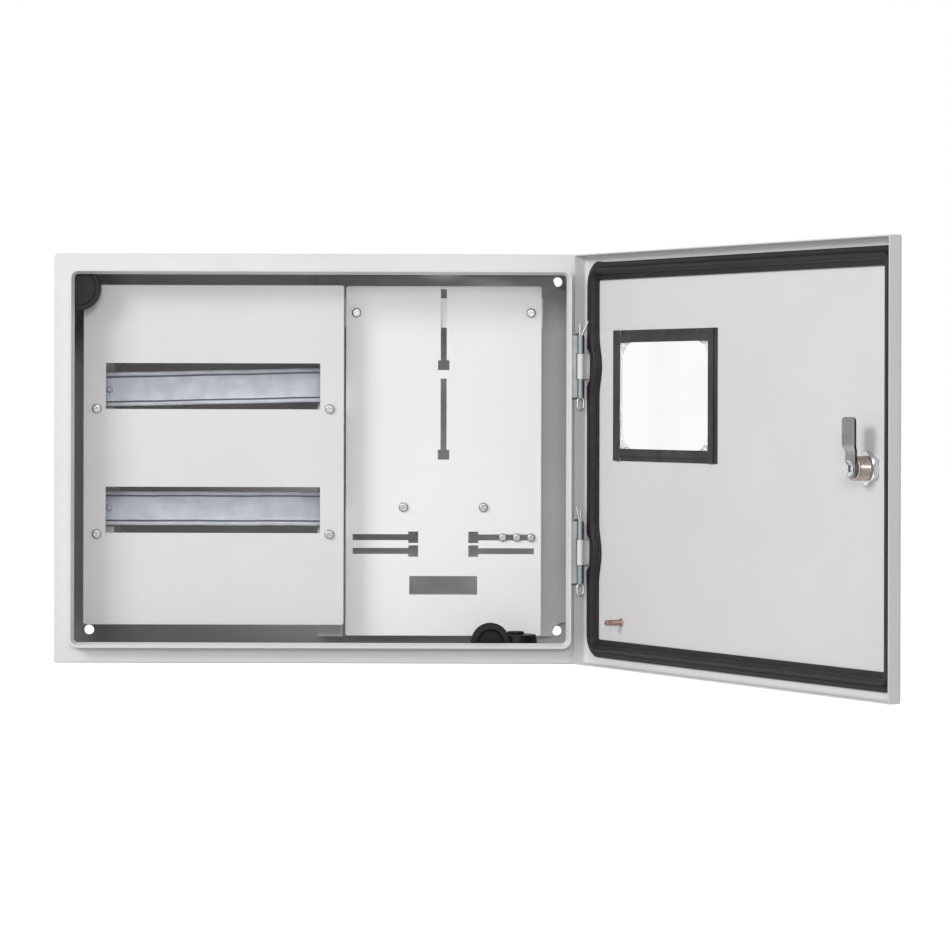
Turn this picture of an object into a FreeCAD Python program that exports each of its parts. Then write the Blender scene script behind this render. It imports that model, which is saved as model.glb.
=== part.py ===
"""Electric meter box: a folded sheet cabinet with a hinged door, two rails behind a cover plate
and a slotted plate for the meter.

Millimetres. The origin is the centre of the four wall holes, on the back of the box.
+X points right, +Z up, and the open front faces -Y. The door is modelled about its hinge axis
in its closed place and then turned open by the door_opening value.
"""
import FreeCAD, Part
import os
from math import cos, radians, sin, tan

from FreeCAD import Placement, Rotation, Vector

DRIVING_SIZES = [
    # Cabinet
    ("body_width", 535, "outside width"),
    ("body_height", 411, "outside height"),
    ("body_depth", 180, "wall to the front frame's face"),
    ("sheet", 1.2, "steel sheet of cabinet and door"),
    ("body_corner", 3.5, "outer radius of the cabinet's long corners"),
    ("bend_radius", 1.5, "outer radius of a folded front edge"),
    ("lip_inset", 16, "outer side to the rain lip"),
    ("lip_height", 14, "rain lip in front of the frame"),
    ("lip_run", 5, "lip's outer face to the clear opening"),
    ("lip_return", 10, "how far the lip's inner leg comes back"),
    ("lip_corner", 9, "outer radius of the lip's corners"),
    ("wall_margin_across", 21.5, "cabinet's side to a wall hole"),
    ("wall_margin_up", 22, "cabinet's top or bottom to a wall hole"),
    ("wall_hole_radius", 5, "wall hole"),
    ("entry_radius", 18, "cable entries in the floor"),
    ("entry_spacing", 80, "between the two floor entries"),
    ("top_entry_radius", 20, "cable entry in the roof"),
    ("entry_depth", 70, "cable entries, from the wall"),
    # Fittings inside
    ("fitting_sheet", 1.5, "sheet of the inner brackets"),
    ("panel_left", -5, "left side of the rear mounting panel"),
    ("panel_right", 256, "right side of the rear mounting panel"),
    ("panel_gap", 16.5, "above and below the rear mounting panel"),
    ("panel_standoff", 10, "front of the mounting panel, from the wall"),
    ("notch_run", 14.8, "panel cut away at a wall hole, sideways"),
    ("notch_rise", 14.6, "panel cut away at a wall hole, up and down"),
    ("notch_corner", 12, "inner corner of that cut"),
    ("rail_front", 103, "front of the rails, from the wall"),
    ("rail_width", 35, "top-hat rail over its lips"),
    ("rail_inside", 25, "between the rail's lips"),
    ("rail_depth", 7.5, "top-hat rail"),
    ("rail_sheet", 1, "top-hat rail"),
    ("rail_left", -222, "left end of the rails"),
    ("rail_right", 20, "right end of the rails"),
    ("upper_rail_level", 71.8, "middle of the upper rail"),
    ("rail_pitch", 124.4, "between the rails"),
    ("upper_rail_tilt", 1.4, "upper rail, out of level"),
    ("left_channel_centre", -228, "left upright"),
    ("left_channel_width", 30, "left upright"),
    ("centre_channel_centre", 8.8, "centre upright"),
    ("centre_channel_width", 26, "centre upright"),
    ("channel_foot", 8, "foot of an upright"),
    ("rivet_left", -218, "rivets at the rails' left ends"),
    ("rivet_right", 8.8, "rivets at the rails' right ends"),
    ("rivet_radius", 3.2, "rivet head"),
    ("rivet_height", 1.3, "rivet head"),
    ("left_channel_gap", 34.5, "below the left upright"),
    ("centre_channel_gap", 21.5, "below the centre upright"),
    ("channel_top_gap", 34.5, "above both uprights"),
    ("bridge_width", 30, "strip that carries the meter plate"),
    ("bridge_foot", 16, "foot of such a strip"),
    ("bridge_margin", 12, "screw to the bridge's side"),
    # Cover plate over the rails
    ("cover_front", 150, "front of the cover plate, from the wall"),
    ("cover_left", -240.4, "cover plate"),
    ("cover_right", 23.3, "cover plate"),
    ("cover_bottom_gap", 36.5, "below the cover plate"),
    ("cover_top_gap", 30.5, "above the cover plate"),
    ("cover_flange", 10, "folded edge of the cover plate"),
    ("cut_out_left", -217.7, "cut-outs for the modular devices"),
    ("cut_out_right", -0.8, "cut-outs for the modular devices"),
    ("cut_out_height", 46.5, "cut-outs for the modular devices"),
    ("upper_cut_out_level", 72.5, "middle of the upper cut-out"),
    ("cut_out_step", 125.2, "upper to lower cut-out"),
    ("cover_screw_left", -226.8, "cover screws"),
    ("cover_screw_right", 8.8, "cover screws"),
    ("cover_screw_top", 49.7, "cover screws"),
    ("cover_screw_bottom", -77.2, "cover screws"),
    ("standoff_flats", 8, "hexagonal spacers behind the cover plate"),
    # Meter plate
    ("meter_front", 125, "front of the meter plate, from the wall"),
    ("meter_sheet", 2, "meter plate"),
    ("meter_centre", 124.5, "middle of the meter plate"),
    ("meter_width", 199, "meter plate"),
    ("meter_top_gap", 30.5, "above the meter plate"),
    ("meter_bottom_gap", 24.5, "below the meter plate"),
    ("meter_corner", 2.5, "corner radius of the plates"),
    ("meter_screw_margin", 10.6, "upper screws, from the plate's sides"),
    ("meter_screw_drop", 27.2, "upper screws, from the plate's top"),
    ("meter_low_spread", 81.4, "lower screws"),
    ("meter_low_rise", 130.8, "lower screws, from the plate's bottom"),
    ("slot_width", 6, "narrow part of the slots"),
    ("slot_wide", 11.6, "wide end of the slots"),
    ("slot_wide_length", 10, "wide end of the slots"),
    ("high_slot_drop", 3, "plate's top to the upper upright slot"),
    ("high_slot_length", 82.4, "upright slots"),
    ("high_slot_step", 91.2, "upper to lower upright slot"),
    ("side_slot_margin", 7.1, "level slots' ends to the plate's sides"),
    ("side_slot_gap", 51.2, "between the level slots' wide ends"),
    ("side_slot_rise", 100.2, "upper pair of level slots, from the plate's bottom"),
    ("side_slot_step", 14, "upper to lower level slots"),
    ("wire_hole_width", 69, "rectangular hole for the wires"),
    ("wire_hole_rise", 60.7, "wire hole's top, from the plate's bottom"),
    ("wire_hole_height", 18.8, "rectangular hole for the wires"),
    # Fasteners
    ("screw_head_radius", 4.8, "pan head"),
    ("screw_head_height", 2.9, "pan head"),
    ("screw_radius", 2.5, "pan-head screws"),
    ("screw_clearance", 0.15, "screw in its hole"),
    ("screw_length", 12, "pan-head screws under the head"),
    ("fixing_head_radius", 4.3, "stored meter screws"),
    ("fixing_screw_length", 16, "stored meter screws"),
    ("fixing_end", 3.1, "last stored screw, from the slot's end"),
    ("fixing_pitch", 14.4, "stored screws"),
    ("nut_flats", 8, "nuts of the stored screws"),
    ("nut_height", 4, "nuts of the stored screws"),
    # Loose rubber grommets
    ("grommet_radius", 22.3, "large grommet"),
    ("grommet_height", 27.6, "large grommet"),
    ("grommet_collar", 12, "top collar of the large grommet"),
    ("small_grommet_radius", 19.5, "small grommet"),
    ("small_grommet_height", 12, "small grommet"),
    ("small_grommet_bore", 12.6, "small grommet"),
    ("standing_across", 171.6, "grommet that stands on the floor"),
    ("standing_back", 172.5, "its front, from the wall"),
    ("flat_across", 198, "grommet that lies on the floor"),
    ("flat_back", 137.5, "its middle, from the wall"),
    ("corner_drop", 34.7, "cabinet's top to the grommet in the corner"),
    # Hinges
    ("pivot_across", 260.5, "hinge axis"),
    ("pivot_front", 10.8, "hinge axis in front of the frame"),
    ("hinge_level", 93, "hinges above and below the middle"),
    ("hinge_height", 62, "whole hinge"),
    ("door_knuckle", 25.3, "door's knuckle"),
    ("knuckle_gap", 0.35, "between knuckles"),
    ("knuckle_radius", 3.5, "knuckles"),
    ("pin_radius", 1.88, "split pin"),
    ("pin_clearance", 0.06, "split pin in its knuckles"),
    ("leaf_sheet", 1.5, "hinge leaves"),
    ("pin_wire", 0.85, "half the split pin's wire"),
    ("eye_radius", 3.4, "middle line of the split pin's eye"),
    ("eye_straight", 4.5, "straight sides of the eye"),
    # Door
    ("door_opening", 118, "degrees from closed"),
    ("door_margin", 1, "door inside the cabinet's outline, at the sides"),
    ("door_level_margin", 0.5, "door inside the cabinet's outline, top and bottom"),
    ("panel_behind_pivot", 10, "hinge axis to the door sheet's inner face"),
    ("door_flange", 15.1, "folded edge of the door"),
    ("door_bend", 4.7, "outer radius of the door's folded edges"),
    ("hinge_notch_height", 66, "door flange cut away at a hinge"),
    ("hinge_notch_depth", 5, "door flange cut away at a hinge"),
    ("gasket_inset", 8.3, "door edge to the gasket"),
    ("gasket_width", 17.7, "rubber gasket"),
    ("gasket_base", 2.6, "height of the gasket's flat sides"),
    ("gasket_side", 4.6, "width of each flat side"),
    ("gasket_gap", 0.3, "gasket to the rain lip when closed"),
    ("gasket_corner", 10, "outer radius of the gasket's corners"),
    ("gasket_bow", 4.7, "how far the gasket bows round a hinge"),
    ("gasket_bow_length", 62, "length of that bow"),
    ("window_from_hinge", 68, "door's hinge side to the window"),
    ("window_width", 156, "window in the door"),
    ("window_bottom", 11.5, "window above the middle"),
    ("window_height", 105, "window in the door"),
    ("window_corner", 20, "window's corners"),
    ("pane_margin", 10, "pane beyond the window"),
    ("pane_sheet", 1.5, "clear pane"),
    ("tape_side", 14.5, "upright tapes round the pane"),
    ("tape_level", 12.2, "level tapes round the pane"),
    ("tape_reach", 16, "tape beyond the window, at the sides"),
    ("tape_reach_level", 12, "tape beyond the window, above and below"),
    ("tape_sheet", 0.4, "tape"),
    ("stud_from_hinge", 68, "earth stud"),
    ("stud_rise", 45.5, "earth stud, from the cabinet's bottom"),
    ("stud_radius", 2.9, "earth stud"),
    ("stud_length", 18, "earth stud"),
    # Lock
    ("lock_from_hinge", 485.5, "door's hinge side to the lock"),
    ("lock_level", 0, "lock"),
    ("lock_radius", 11, "threaded body of the lock"),
    ("lock_inside", 19, "lock body inside the door"),
    ("lock_head_radius", 15, "lock head outside the door"),
    ("lock_head_height", 4.5, "lock head outside the door"),
    ("lock_seal_height", 1, "rubber ring under the lock head"),
    ("lock_nut_flats", 27, "nut of the lock"),
    ("lock_nut_height", 6, "nut of the lock"),
    ("rotor_radius", 7, "turning core of the lock"),
    ("rotor_clearance", 0.06, "core in its housing"),
    ("cam_width", 16, "cam"),
    ("cam_reach", 45.5, "lock axis to the cam's end"),
    ("cam_tail", 8.5, "lock axis to the cam's lower end"),
    ("cam_sheet", 3, "cam"),
    ("cam_crank", 4.5, "step in the cam"),
    ("cam_crank_start", 14, "where the step starts"),
    ("cam_crank_end", 22, "where the step ends"),
    ("cam_washer_radius", 7, "washer on the cam"),
    ("cam_washer_height", 1.4, "washer on the cam"),
    ("cam_bolt_flats", 10, "bolt of the cam"),
    ("cam_bolt_head", 4, "bolt of the cam"),
    ("cam_bolt_radius", 2.9, "bolt of the cam"),
]

doc = FreeCAD.newDocument("MeterBox")
sheet = doc.addObject("Spreadsheet::Sheet", "Sizes")
for row, (size_name, size_value, size_note) in enumerate(DRIVING_SIZES, start=1):
    sheet.set(f"A{row}", size_name)
    sheet.set(f"B{row}", str(size_value))
    sheet.setAlias(f"B{row}", size_name)
    sheet.set(f"C{row}", size_note)
doc.recompute()


class Size:
    """A number together with the spreadsheet expression that gives it."""

    def __init__(self, number, text):
        self.number = float(number)
        self.text = text

    def __add__(self, other):
        other = as_size(other)
        return Size(self.number + other.number, f"({self.text} + {other.text})")

    def __radd__(self, other):
        return as_size(other) + self

    def __sub__(self, other):
        other = as_size(other)
        return Size(self.number - other.number, f"({self.text} - {other.text})")

    def __rsub__(self, other):
        return as_size(other) - self

    def __mul__(self, other):
        other = as_size(other)
        return Size(self.number * other.number, f"({self.text} * {other.text})")

    def __rmul__(self, other):
        return as_size(other) * self

    def __truediv__(self, other):
        other = as_size(other)
        return Size(self.number / other.number, f"({self.text} / {other.text})")

    def __neg__(self):
        return Size(-self.number, f"(0 - {self.text})")

    def __float__(self):
        return self.number


def as_size(number):
    return number if isinstance(number, Size) else Size(number, repr(float(number)))


def size(name):
    return Size(sheet.get(name), f"Sizes.{name}")


# Sketches and features

def new_body(name):
    body = doc.addObject("PartDesign::Body", name)
    body.Label = name
    return body


def sketch_on(body, name, role, offset=0):
    """A sketch on one of the body's origin planes, moved along that plane's normal."""
    plane = next(item for item in body.Origin.OriginFeatures if item.Role == role)
    sketch = body.newObject("Sketcher::SketchObject", name)
    sketch.AttachmentSupport = (plane, [""])
    sketch.MapMode = "FlatFace"
    offset = as_size(offset)
    sketch.AttachmentOffset = Placement(Vector(0, 0, offset.number), Rotation())
    sketch.setExpression("AttachmentOffset.Base.z", offset.text)
    return sketch


def from_origin(sketch, kind, geometry, point, distance):
    """Fix a point's distance from the sketch origin to a spreadsheet expression."""
    import Sketcher
    distance = as_size(distance)
    row = sketch.addConstraint(Sketcher.Constraint(kind, -1, 1, geometry, point, distance.number))
    sketch.setExpression(f"Constraints[{row}]", distance.text)


def draw_polygon(sketch, corners):
    import Sketcher
    first = sketch.GeometryCount
    count = len(corners)
    places = [Vector(float(across), float(up), 0) for across, up in corners]
    for index in range(count):
        sketch.addGeometry(Part.LineSegment(places[index], places[(index + 1) % count]), False)
    for index in range(count):
        following = first + (index + 1) % count
        sketch.addConstraint(Sketcher.Constraint("Coincident", first + index, 2, following, 1))
    for index, (across, up) in enumerate(corners):
        from_origin(sketch, "DistanceX", first + index, 1, across)
        from_origin(sketch, "DistanceY", first + index, 1, up)


def draw_rectangle(sketch, left, right, bottom, top):
    draw_polygon(sketch, [(left, bottom), (right, bottom), (right, top), (left, top)])


def draw_circle(sketch, across, up, radius):
    import Sketcher
    radius = as_size(radius)
    centre = Vector(float(across), float(up), 0)
    circle = sketch.addGeometry(Part.Circle(centre, Vector(0, 0, 1), radius.number), False)
    from_origin(sketch, "DistanceX", circle, 3, across)
    from_origin(sketch, "DistanceY", circle, 3, up)
    row = sketch.addConstraint(Sketcher.Constraint("Radius", circle, radius.number))
    sketch.setExpression(f"Constraints[{row}]", radius.text)


def draw_rounded(sketch, left, right, bottom, top, radius):
    """A rectangle with four tangent corner arcs."""
    import Sketcher
    radius = as_size(radius)
    west, east, south, north = (float(side) for side in (left, right, bottom, top))
    bend = radius.number
    first = sketch.GeometryCount
    sides = [
        ((west + bend, south), (east - bend, south)),
        ((east, south + bend), (east, north - bend)),
        ((east - bend, north), (west + bend, north)),
        ((west, north - bend), (west, south + bend)),
    ]
    for start, end in sides:
        sketch.addGeometry(Part.LineSegment(Vector(*start, 0), Vector(*end, 0)), False)
    centres = [
        (east - bend, south + bend, -90),
        (east - bend, north - bend, 0),
        (west + bend, north - bend, 90),
        (west + bend, south + bend, 180),
    ]
    for across, up, start in centres:
        circle = Part.Circle(Vector(across, up, 0), Vector(0, 0, 1), bend)
        arc = Part.ArcOfCircle(circle, radians(start), radians(start + 90))
        sketch.addGeometry(arc, False)
    for index in range(4):
        side = first + index
        arc = first + 4 + index
        following = first + (index + 1) % 4
        sketch.addConstraint(Sketcher.Constraint("Tangent", side, 2, arc, 1))
        sketch.addConstraint(Sketcher.Constraint("Tangent", arc, 2, following, 1))
    sketch.addConstraint(Sketcher.Constraint("Horizontal", first))
    sketch.addConstraint(Sketcher.Constraint("Horizontal", first + 2))
    sketch.addConstraint(Sketcher.Constraint("Vertical", first + 1))
    sketch.addConstraint(Sketcher.Constraint("Vertical", first + 3))
    for index in range(1, 4):
        sketch.addConstraint(Sketcher.Constraint("Equal", first + 4, first + 4 + index))
    row = sketch.addConstraint(Sketcher.Constraint("Radius", first + 4, bend))
    sketch.setExpression(f"Constraints[{row}]", radius.text)
    from_origin(sketch, "DistanceY", first, 1, bottom)
    from_origin(sketch, "DistanceX", first + 1, 1, right)
    from_origin(sketch, "DistanceY", first + 2, 1, top)
    from_origin(sketch, "DistanceX", first + 3, 1, left)


def pad(body, sketch, length):
    """Add material along the sketch's normal."""
    feature = body.newObject("PartDesign::Pad", "Pad")
    feature.Profile = sketch
    feature.setExpression("Length", as_size(length).text)
    doc.recompute()
    return feature


def cut(body, sketch, length, forward=True):
    """Remove material along the sketch's normal, or against it."""
    before = body.Shape.Volume
    feature = body.newObject("PartDesign::Pocket", "Pocket")
    feature.Profile = sketch
    feature.Reversed = forward
    feature.setExpression("Length", as_size(length).text)
    doc.recompute()
    if body.Shape.Volume >= before:
        raise ValueError(f"{feature.Name} in {body.Label} removes nothing")
    return feature


def loft(body, kind, first, second):
    feature = body.newObject(f"PartDesign::{kind}", kind)
    feature.Profile = first
    feature.Sections = [second]
    feature.Ruled = True
    doc.recompute()
    return feature


def turn(body, sketch):
    """Revolve a half section about the body's Z axis."""
    feature = body.newObject("PartDesign::Revolution", "Revolution")
    feature.Profile = sketch
    feature.ReferenceAxis = (sketch, ["V_Axis"])
    feature.Angle = 360
    doc.recompute()
    return feature


def round_edges(body, radius, wanted):
    """Fillet the tip's edges for which wanted(edge) is true."""
    tip = body.Tip
    names = [f"Edge{index}" for index, edge in enumerate(tip.Shape.Edges, start=1) if wanted(edge)]
    feature = body.newObject("PartDesign::Fillet", "Fillet")
    feature.Base = (tip, names)
    feature.setExpression("Radius", as_size(radius).text)
    doc.recompute()
    return feature


def runs_along(edge, axis):
    """True for a straight edge along X, Y or Z."""
    if not isinstance(edge.Curve, Part.Line):
        return False
    return abs(abs(edge.tangentAt(edge.FirstParameter).dot(axis)) - 1) < 1e-6


def lies_at(edge, **place):
    """True where every point of the edge has the given x, y or z."""
    box = edge.BoundBox
    for axis, level in place.items():
        low = getattr(box, f"{axis.upper()}Min")
        high = getattr(box, f"{axis.upper()}Max")
        if abs(low - float(level)) > 1e-4 or abs(high - float(level)) > 1e-4:
            return False
    return True


ALONG_X = Vector(1, 0, 0)
ALONG_Y = Vector(0, 1, 0)
ALONG_Z = Vector(0, 0, 1)

nodes = []


def keep(item):
    nodes.append(item)
    return item


def group_of(name, shapes):
    """One node that holds identical separate pieces."""
    feature = doc.addObject("Part::Feature", name)
    feature.Label = name
    feature.Shape = Part.makeCompound(shapes) if len(shapes) > 1 else shapes[0]
    return keep(feature)


def hang_on_door(item):
    """Turn a piece that is modelled about the hinge axis, door closed, into the open place."""
    item.Placement = Placement(
        Vector(pivot_across.number, pivot_back.number, 0),
        Rotation(ALONG_Z, size("door_opening").number),
    )
    item.setExpression("Placement.Base.x", pivot_across.text)
    item.setExpression("Placement.Base.y", pivot_back.text)
    item.setExpression("Placement.Rotation.Angle", size("door_opening").text)
    return item


# Sizes that several pieces share

thick = size("sheet")
half_width = size("body_width") / 2
half_height = size("body_height") / 2
depth = size("body_depth")
bracket = size("fitting_sheet")
pivot_across = size("pivot_across")
pivot_back = -(depth + size("pivot_front"))
door_face = size("panel_behind_pivot")
door_right = half_width - size("door_margin") - pivot_across
door_left = door_right - size("body_width") + 2 * size("door_margin")
door_half = half_height - size("door_level_margin")
lock_across = door_right - size("lock_from_hinge")
cover_back = size("cover_front") - thick
meter_back = size("meter_front") - size("meter_sheet")
rail_seat = size("rail_front") - size("rail_depth")
lower_rail_level = size("upper_rail_level") - size("rail_pitch")
screw_hole = size("screw_radius") + size("screw_clearance")
channel_top = half_height - size("channel_top_gap")
meter_top = half_height - size("meter_top_gap")
meter_bottom = size("meter_bottom_gap") - half_height
meter_screw_spread = size("meter_width") - 2 * size("meter_screw_margin")
meter_screw_top = meter_top - size("meter_screw_drop")
meter_low_level = meter_bottom + size("meter_low_rise")
side_slot_level = meter_bottom + size("side_slot_rise")
side_slot_end = size("meter_width") / 2 - size("side_slot_margin")


def inset_ring(sketch, outer, inner, corner_centre):
    """Two rounded rectangles whose corner arcs share their centres."""
    for inset in (outer, inner):
        draw_inset(sketch, inset, corner_centre)


def draw_inset(sketch, inset, corner_centre):
    draw_rounded(
        sketch,
        inset - half_width,
        half_width - inset,
        inset - half_height,
        half_height - inset,
        corner_centre - inset,
    )


# Cabinet

def cabinet_shell():
    """Folded wrapper with its front frame and the hemmed rain lip round the opening."""
    body = new_body("cabinet_shell")
    walls = sketch_on(body, "Walls", "XZ_Plane")
    inset_ring(walls, as_size(0), thick, size("body_corner"))
    pad(body, walls, depth)
    frame_inner = size("lip_inset") + thick
    lip_centre = size("lip_inset") + size("lip_corner")
    frame = sketch_on(body, "Frame", "XZ_Plane", depth - thick)
    draw_inset(frame, as_size(0), size("body_corner"))
    draw_inset(frame, frame_inner, lip_centre)
    pad(body, frame, thick)
    round_edges(
        body,
        size("bend_radius"),
        lambda edge: lies_at(edge, y=-depth) and outside_lip(edge),
    )
    lip_leg = sketch_on(body, "LipLeg", "XZ_Plane", depth - thick)
    inset_ring(lip_leg, size("lip_inset"), frame_inner, lip_centre)
    pad(body, lip_leg, size("lip_height") + thick)
    lip_front = depth + size("lip_height")
    hem = sketch_on(body, "Hem", "XZ_Plane", lip_front - thick)
    inset_ring(hem, size("lip_inset"), frame_inner + thick, lip_centre)
    pad(body, hem, thick)
    return_end = lip_front - size("lip_return")
    opening_inset = size("lip_inset") + size("lip_run")
    sections = []
    for name, level, inset in (
        ("ReturnFront", lip_front, frame_inner),
        ("ReturnEnd", return_end, opening_inset - thick),
        ("MouthFront", lip_front, frame_inner + thick),
        ("MouthEnd", return_end, opening_inset),
    ):
        section = sketch_on(body, name, "XZ_Plane", level)
        draw_inset(section, inset, lip_centre)
        sections.append(section)
    doc.recompute()
    loft(body, "AdditiveLoft", sections[0], sections[1])
    loft(body, "SubtractiveLoft", sections[2], sections[3])
    floor_entries = sketch_on(body, "FloorEntries", "XY_Plane", -half_height)
    for side in (-1, 1):
        across = size("meter_centre") + side * size("entry_spacing") / 2
        draw_circle(floor_entries, across, -size("entry_depth"), size("entry_radius"))
    cut(body, floor_entries, 2 * thick)
    roof_entry = sketch_on(body, "RoofEntry", "XY_Plane", half_height)
    draw_circle(
        roof_entry, size("meter_centre"), -size("entry_depth"), size("top_entry_radius")
    )
    cut(body, roof_entry, 2 * thick, forward=False)
    return keep(body)


def outside_lip(edge):
    """True for an edge on the cabinet's outline, not round the opening."""
    box = edge.BoundBox
    inner_x = float(half_width - size("lip_inset"))
    inner_z = float(half_height - size("lip_inset"))
    reach_x = max(abs(box.XMin), abs(box.XMax))
    reach_z = max(abs(box.ZMin), abs(box.ZMax))
    return reach_x > inner_x + 1 or reach_z > inner_z + 1


def wall_holes(sketch, radius):
    for side in (-1, 1):
        for level in (-1, 1):
            across = side * (half_width - size("wall_margin_across"))
            up = level * (half_height - size("wall_margin_up"))
            draw_circle(sketch, across, up, radius)


def back_panel():
    """Flat back welded inside the wrapper, with the four wall holes."""
    body = new_body("back_panel")
    outline = sketch_on(body, "Outline", "XZ_Plane")
    draw_inset(outline, thick, size("body_corner"))
    wall_holes(outline, size("wall_hole_radius"))
    pad(body, outline, thick)
    return keep(body)


def mounting_panel():
    """Shallow tray on the back panel behind the meter, cut away round two wall holes."""
    body = new_body("mounting_panel")
    left = size("panel_left")
    right = size("panel_right")
    top = half_height - size("panel_gap")
    outline = sketch_on(body, "Outline", "XZ_Plane", thick)
    draw_rectangle(outline, left, right, -top, top)
    pad(body, outline, size("panel_standoff") - thick)
    corners = sketch_on(body, "Corners", "XZ_Plane", thick)
    past = 2 * size("notch_corner")
    notch_left = right - size("notch_run")
    notch_level = top - size("notch_rise")
    radius = size("notch_corner")
    for low, high in ((notch_level, top + past), (-top - past, -notch_level)):
        draw_rounded(corners, notch_left, right + past, low, high, radius)
    cut(body, corners, size("panel_standoff"))
    inside = sketch_on(body, "Inside", "XZ_Plane", thick)
    side = notch_left - bracket
    step = notch_level - bracket
    draw_polygon(inside, [
        (left + bracket, bracket - top),
        (side, bracket - top),
        (side, -step),
        (right - bracket, -step),
        (right - bracket, step),
        (side, step),
        (side, top - bracket),
        (left + bracket, top - bracket),
    ])
    cut(body, inside, size("panel_standoff") - thick - bracket)
    return keep(body)


# Uprights, rails and cover plate

def left_upright():
    """Hat-section upright: two feet on the back panel and a web at the rails' level."""
    body = new_body("left_support_channel")
    centre = size("left_channel_centre")
    half = size("left_channel_width") / 2
    foot = size("channel_foot")
    seat = thick
    low = size("left_channel_gap") - half_height
    section = sketch_on(body, "Section", "XY_Plane", low)
    draw_polygon(section, [
        (centre - half - foot, -seat),
        (centre - half + bracket, -seat),
        (centre - half + bracket, bracket - rail_seat),
        (centre + half - bracket, bracket - rail_seat),
        (centre + half - bracket, -seat),
        (centre + half + foot, -seat),
        (centre + half + foot, -seat - bracket),
        (centre + half, -seat - bracket),
        (centre + half, -rail_seat),
        (centre - half, -rail_seat),
        (centre - half, -seat - bracket),
        (centre - half - foot, -seat - bracket),
    ])
    pad(body, section, channel_top - low)
    return keep(body)


def centre_upright():
    """Lipped channel that stands on the mounting panel, its feet turned inwards."""
    body = new_body("centre_support_channel")
    centre = size("centre_channel_centre")
    half = size("centre_channel_width") / 2
    foot = size("channel_foot")
    seat = size("panel_standoff")
    low = size("centre_channel_gap") - half_height
    section = sketch_on(body, "Section", "XY_Plane", low)
    draw_polygon(section, [
        (centre - half, -seat),
        (centre - half + foot, -seat),
        (centre - half + foot, -seat - bracket),
        (centre - half + bracket, -seat - bracket),
        (centre - half + bracket, bracket - rail_seat),
        (centre + half - bracket, bracket - rail_seat),
        (centre + half - bracket, -seat - bracket),
        (centre + half - foot, -seat - bracket),
        (centre + half - foot, -seat),
        (centre + half, -seat),
        (centre + half, -rail_seat),
        (centre - half, -rail_seat),
    ])
    pad(body, section, channel_top - low)
    return keep(body)


def din_rail(name, level, tilt):
    """Top-hat rail, bolted flat to both uprights."""
    body = new_body(name)
    lip = size("rail_width") / 2
    web = size("rail_inside") / 2 + size("rail_sheet")
    inside = size("rail_inside") / 2
    metal = size("rail_sheet")
    tall = size("rail_depth")
    middle = (size("rail_left") + size("rail_right")) / 2
    length = size("rail_right") - size("rail_left")
    section = sketch_on(body, "Section", "YZ_Plane", -length / 2)
    draw_polygon(section, [
        (0, -web),
        (metal - tall, -web),
        (metal - tall, -lip),
        (-tall, -lip),
        (-tall, -inside),
        (-metal, -inside),
        (-metal, inside),
        (-tall, inside),
        (-tall, lip),
        (metal - tall, lip),
        (metal - tall, web),
        (0, web),
    ])
    pad(body, section, length)
    body.Placement = Placement(Vector(0, 0, 0), Rotation(-ALONG_Y, as_size(tilt).number))
    body.setExpression("Placement.Base.x", middle.text)
    body.setExpression("Placement.Base.y", (-rail_seat).text)
    body.setExpression("Placement.Base.z", as_size(level).text)
    body.setExpression("Placement.Rotation.Angle", as_size(tilt).text)
    doc.recompute()
    return keep(body)


def cover_screw_places():
    return [
        (across, level)
        for across in (size("cover_screw_left"), size("cover_screw_right"))
        for level in (size("cover_screw_top"), size("cover_screw_bottom"))
    ]


def cover_plate():
    """Plate with folded edges and two long cut-outs over the rails."""
    body = new_body("din_cover_plate")
    left = size("cover_left")
    right = size("cover_right")
    low = size("cover_bottom_gap") - half_height
    high = half_height - size("cover_top_gap")
    back = size("cover_front") - size("cover_flange")
    radius = size("meter_corner")
    outline = sketch_on(body, "Outline", "XZ_Plane", back)
    draw_rounded(outline, left, right, low, high, radius)
    pad(body, outline, size("cover_flange"))
    inside = sketch_on(body, "Inside", "XZ_Plane", back)
    draw_rounded(
        inside, left + thick, right - thick, low + thick, high - thick, radius - thick
    )
    cut(body, inside, size("cover_flange") - thick)
    openings = sketch_on(body, "Openings", "XZ_Plane", cover_back)
    half = size("cut_out_height") / 2
    upper = size("upper_cut_out_level")
    for level in (upper, upper - size("cut_out_step")):
        draw_rectangle(
            openings, size("cut_out_left"), size("cut_out_right"), level - half, level + half
        )
    for across, level in cover_screw_places():
        draw_circle(openings, across, level, screw_hole)
    cut(body, openings, 2 * thick)
    round_edges(
        body,
        thick * 0.75,
        lambda edge: lies_at(edge, y=-size("cover_front")) and on_outline(edge, left, right, low, high),
    )
    return keep(body)


def on_outline(edge, left, right, low, high):
    """True for an edge on a plate's outline, not round its holes."""
    box = edge.BoundBox
    margin = 3
    return (
        box.XMin < float(left) + margin
        or box.XMax > float(right) - margin
        or box.ZMin < float(low) + margin
        or box.ZMax > float(high) - margin
    )


# Meter plate and its carriers

def meter_screw_places():
    places = []
    for side in (-1, 1):
        across = size("meter_centre") + side * meter_screw_spread / 2
        places.append((across, meter_screw_top))
        across = size("meter_centre") + side * size("meter_low_spread") / 2
        places.append((across, meter_low_level))
    return places


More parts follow.
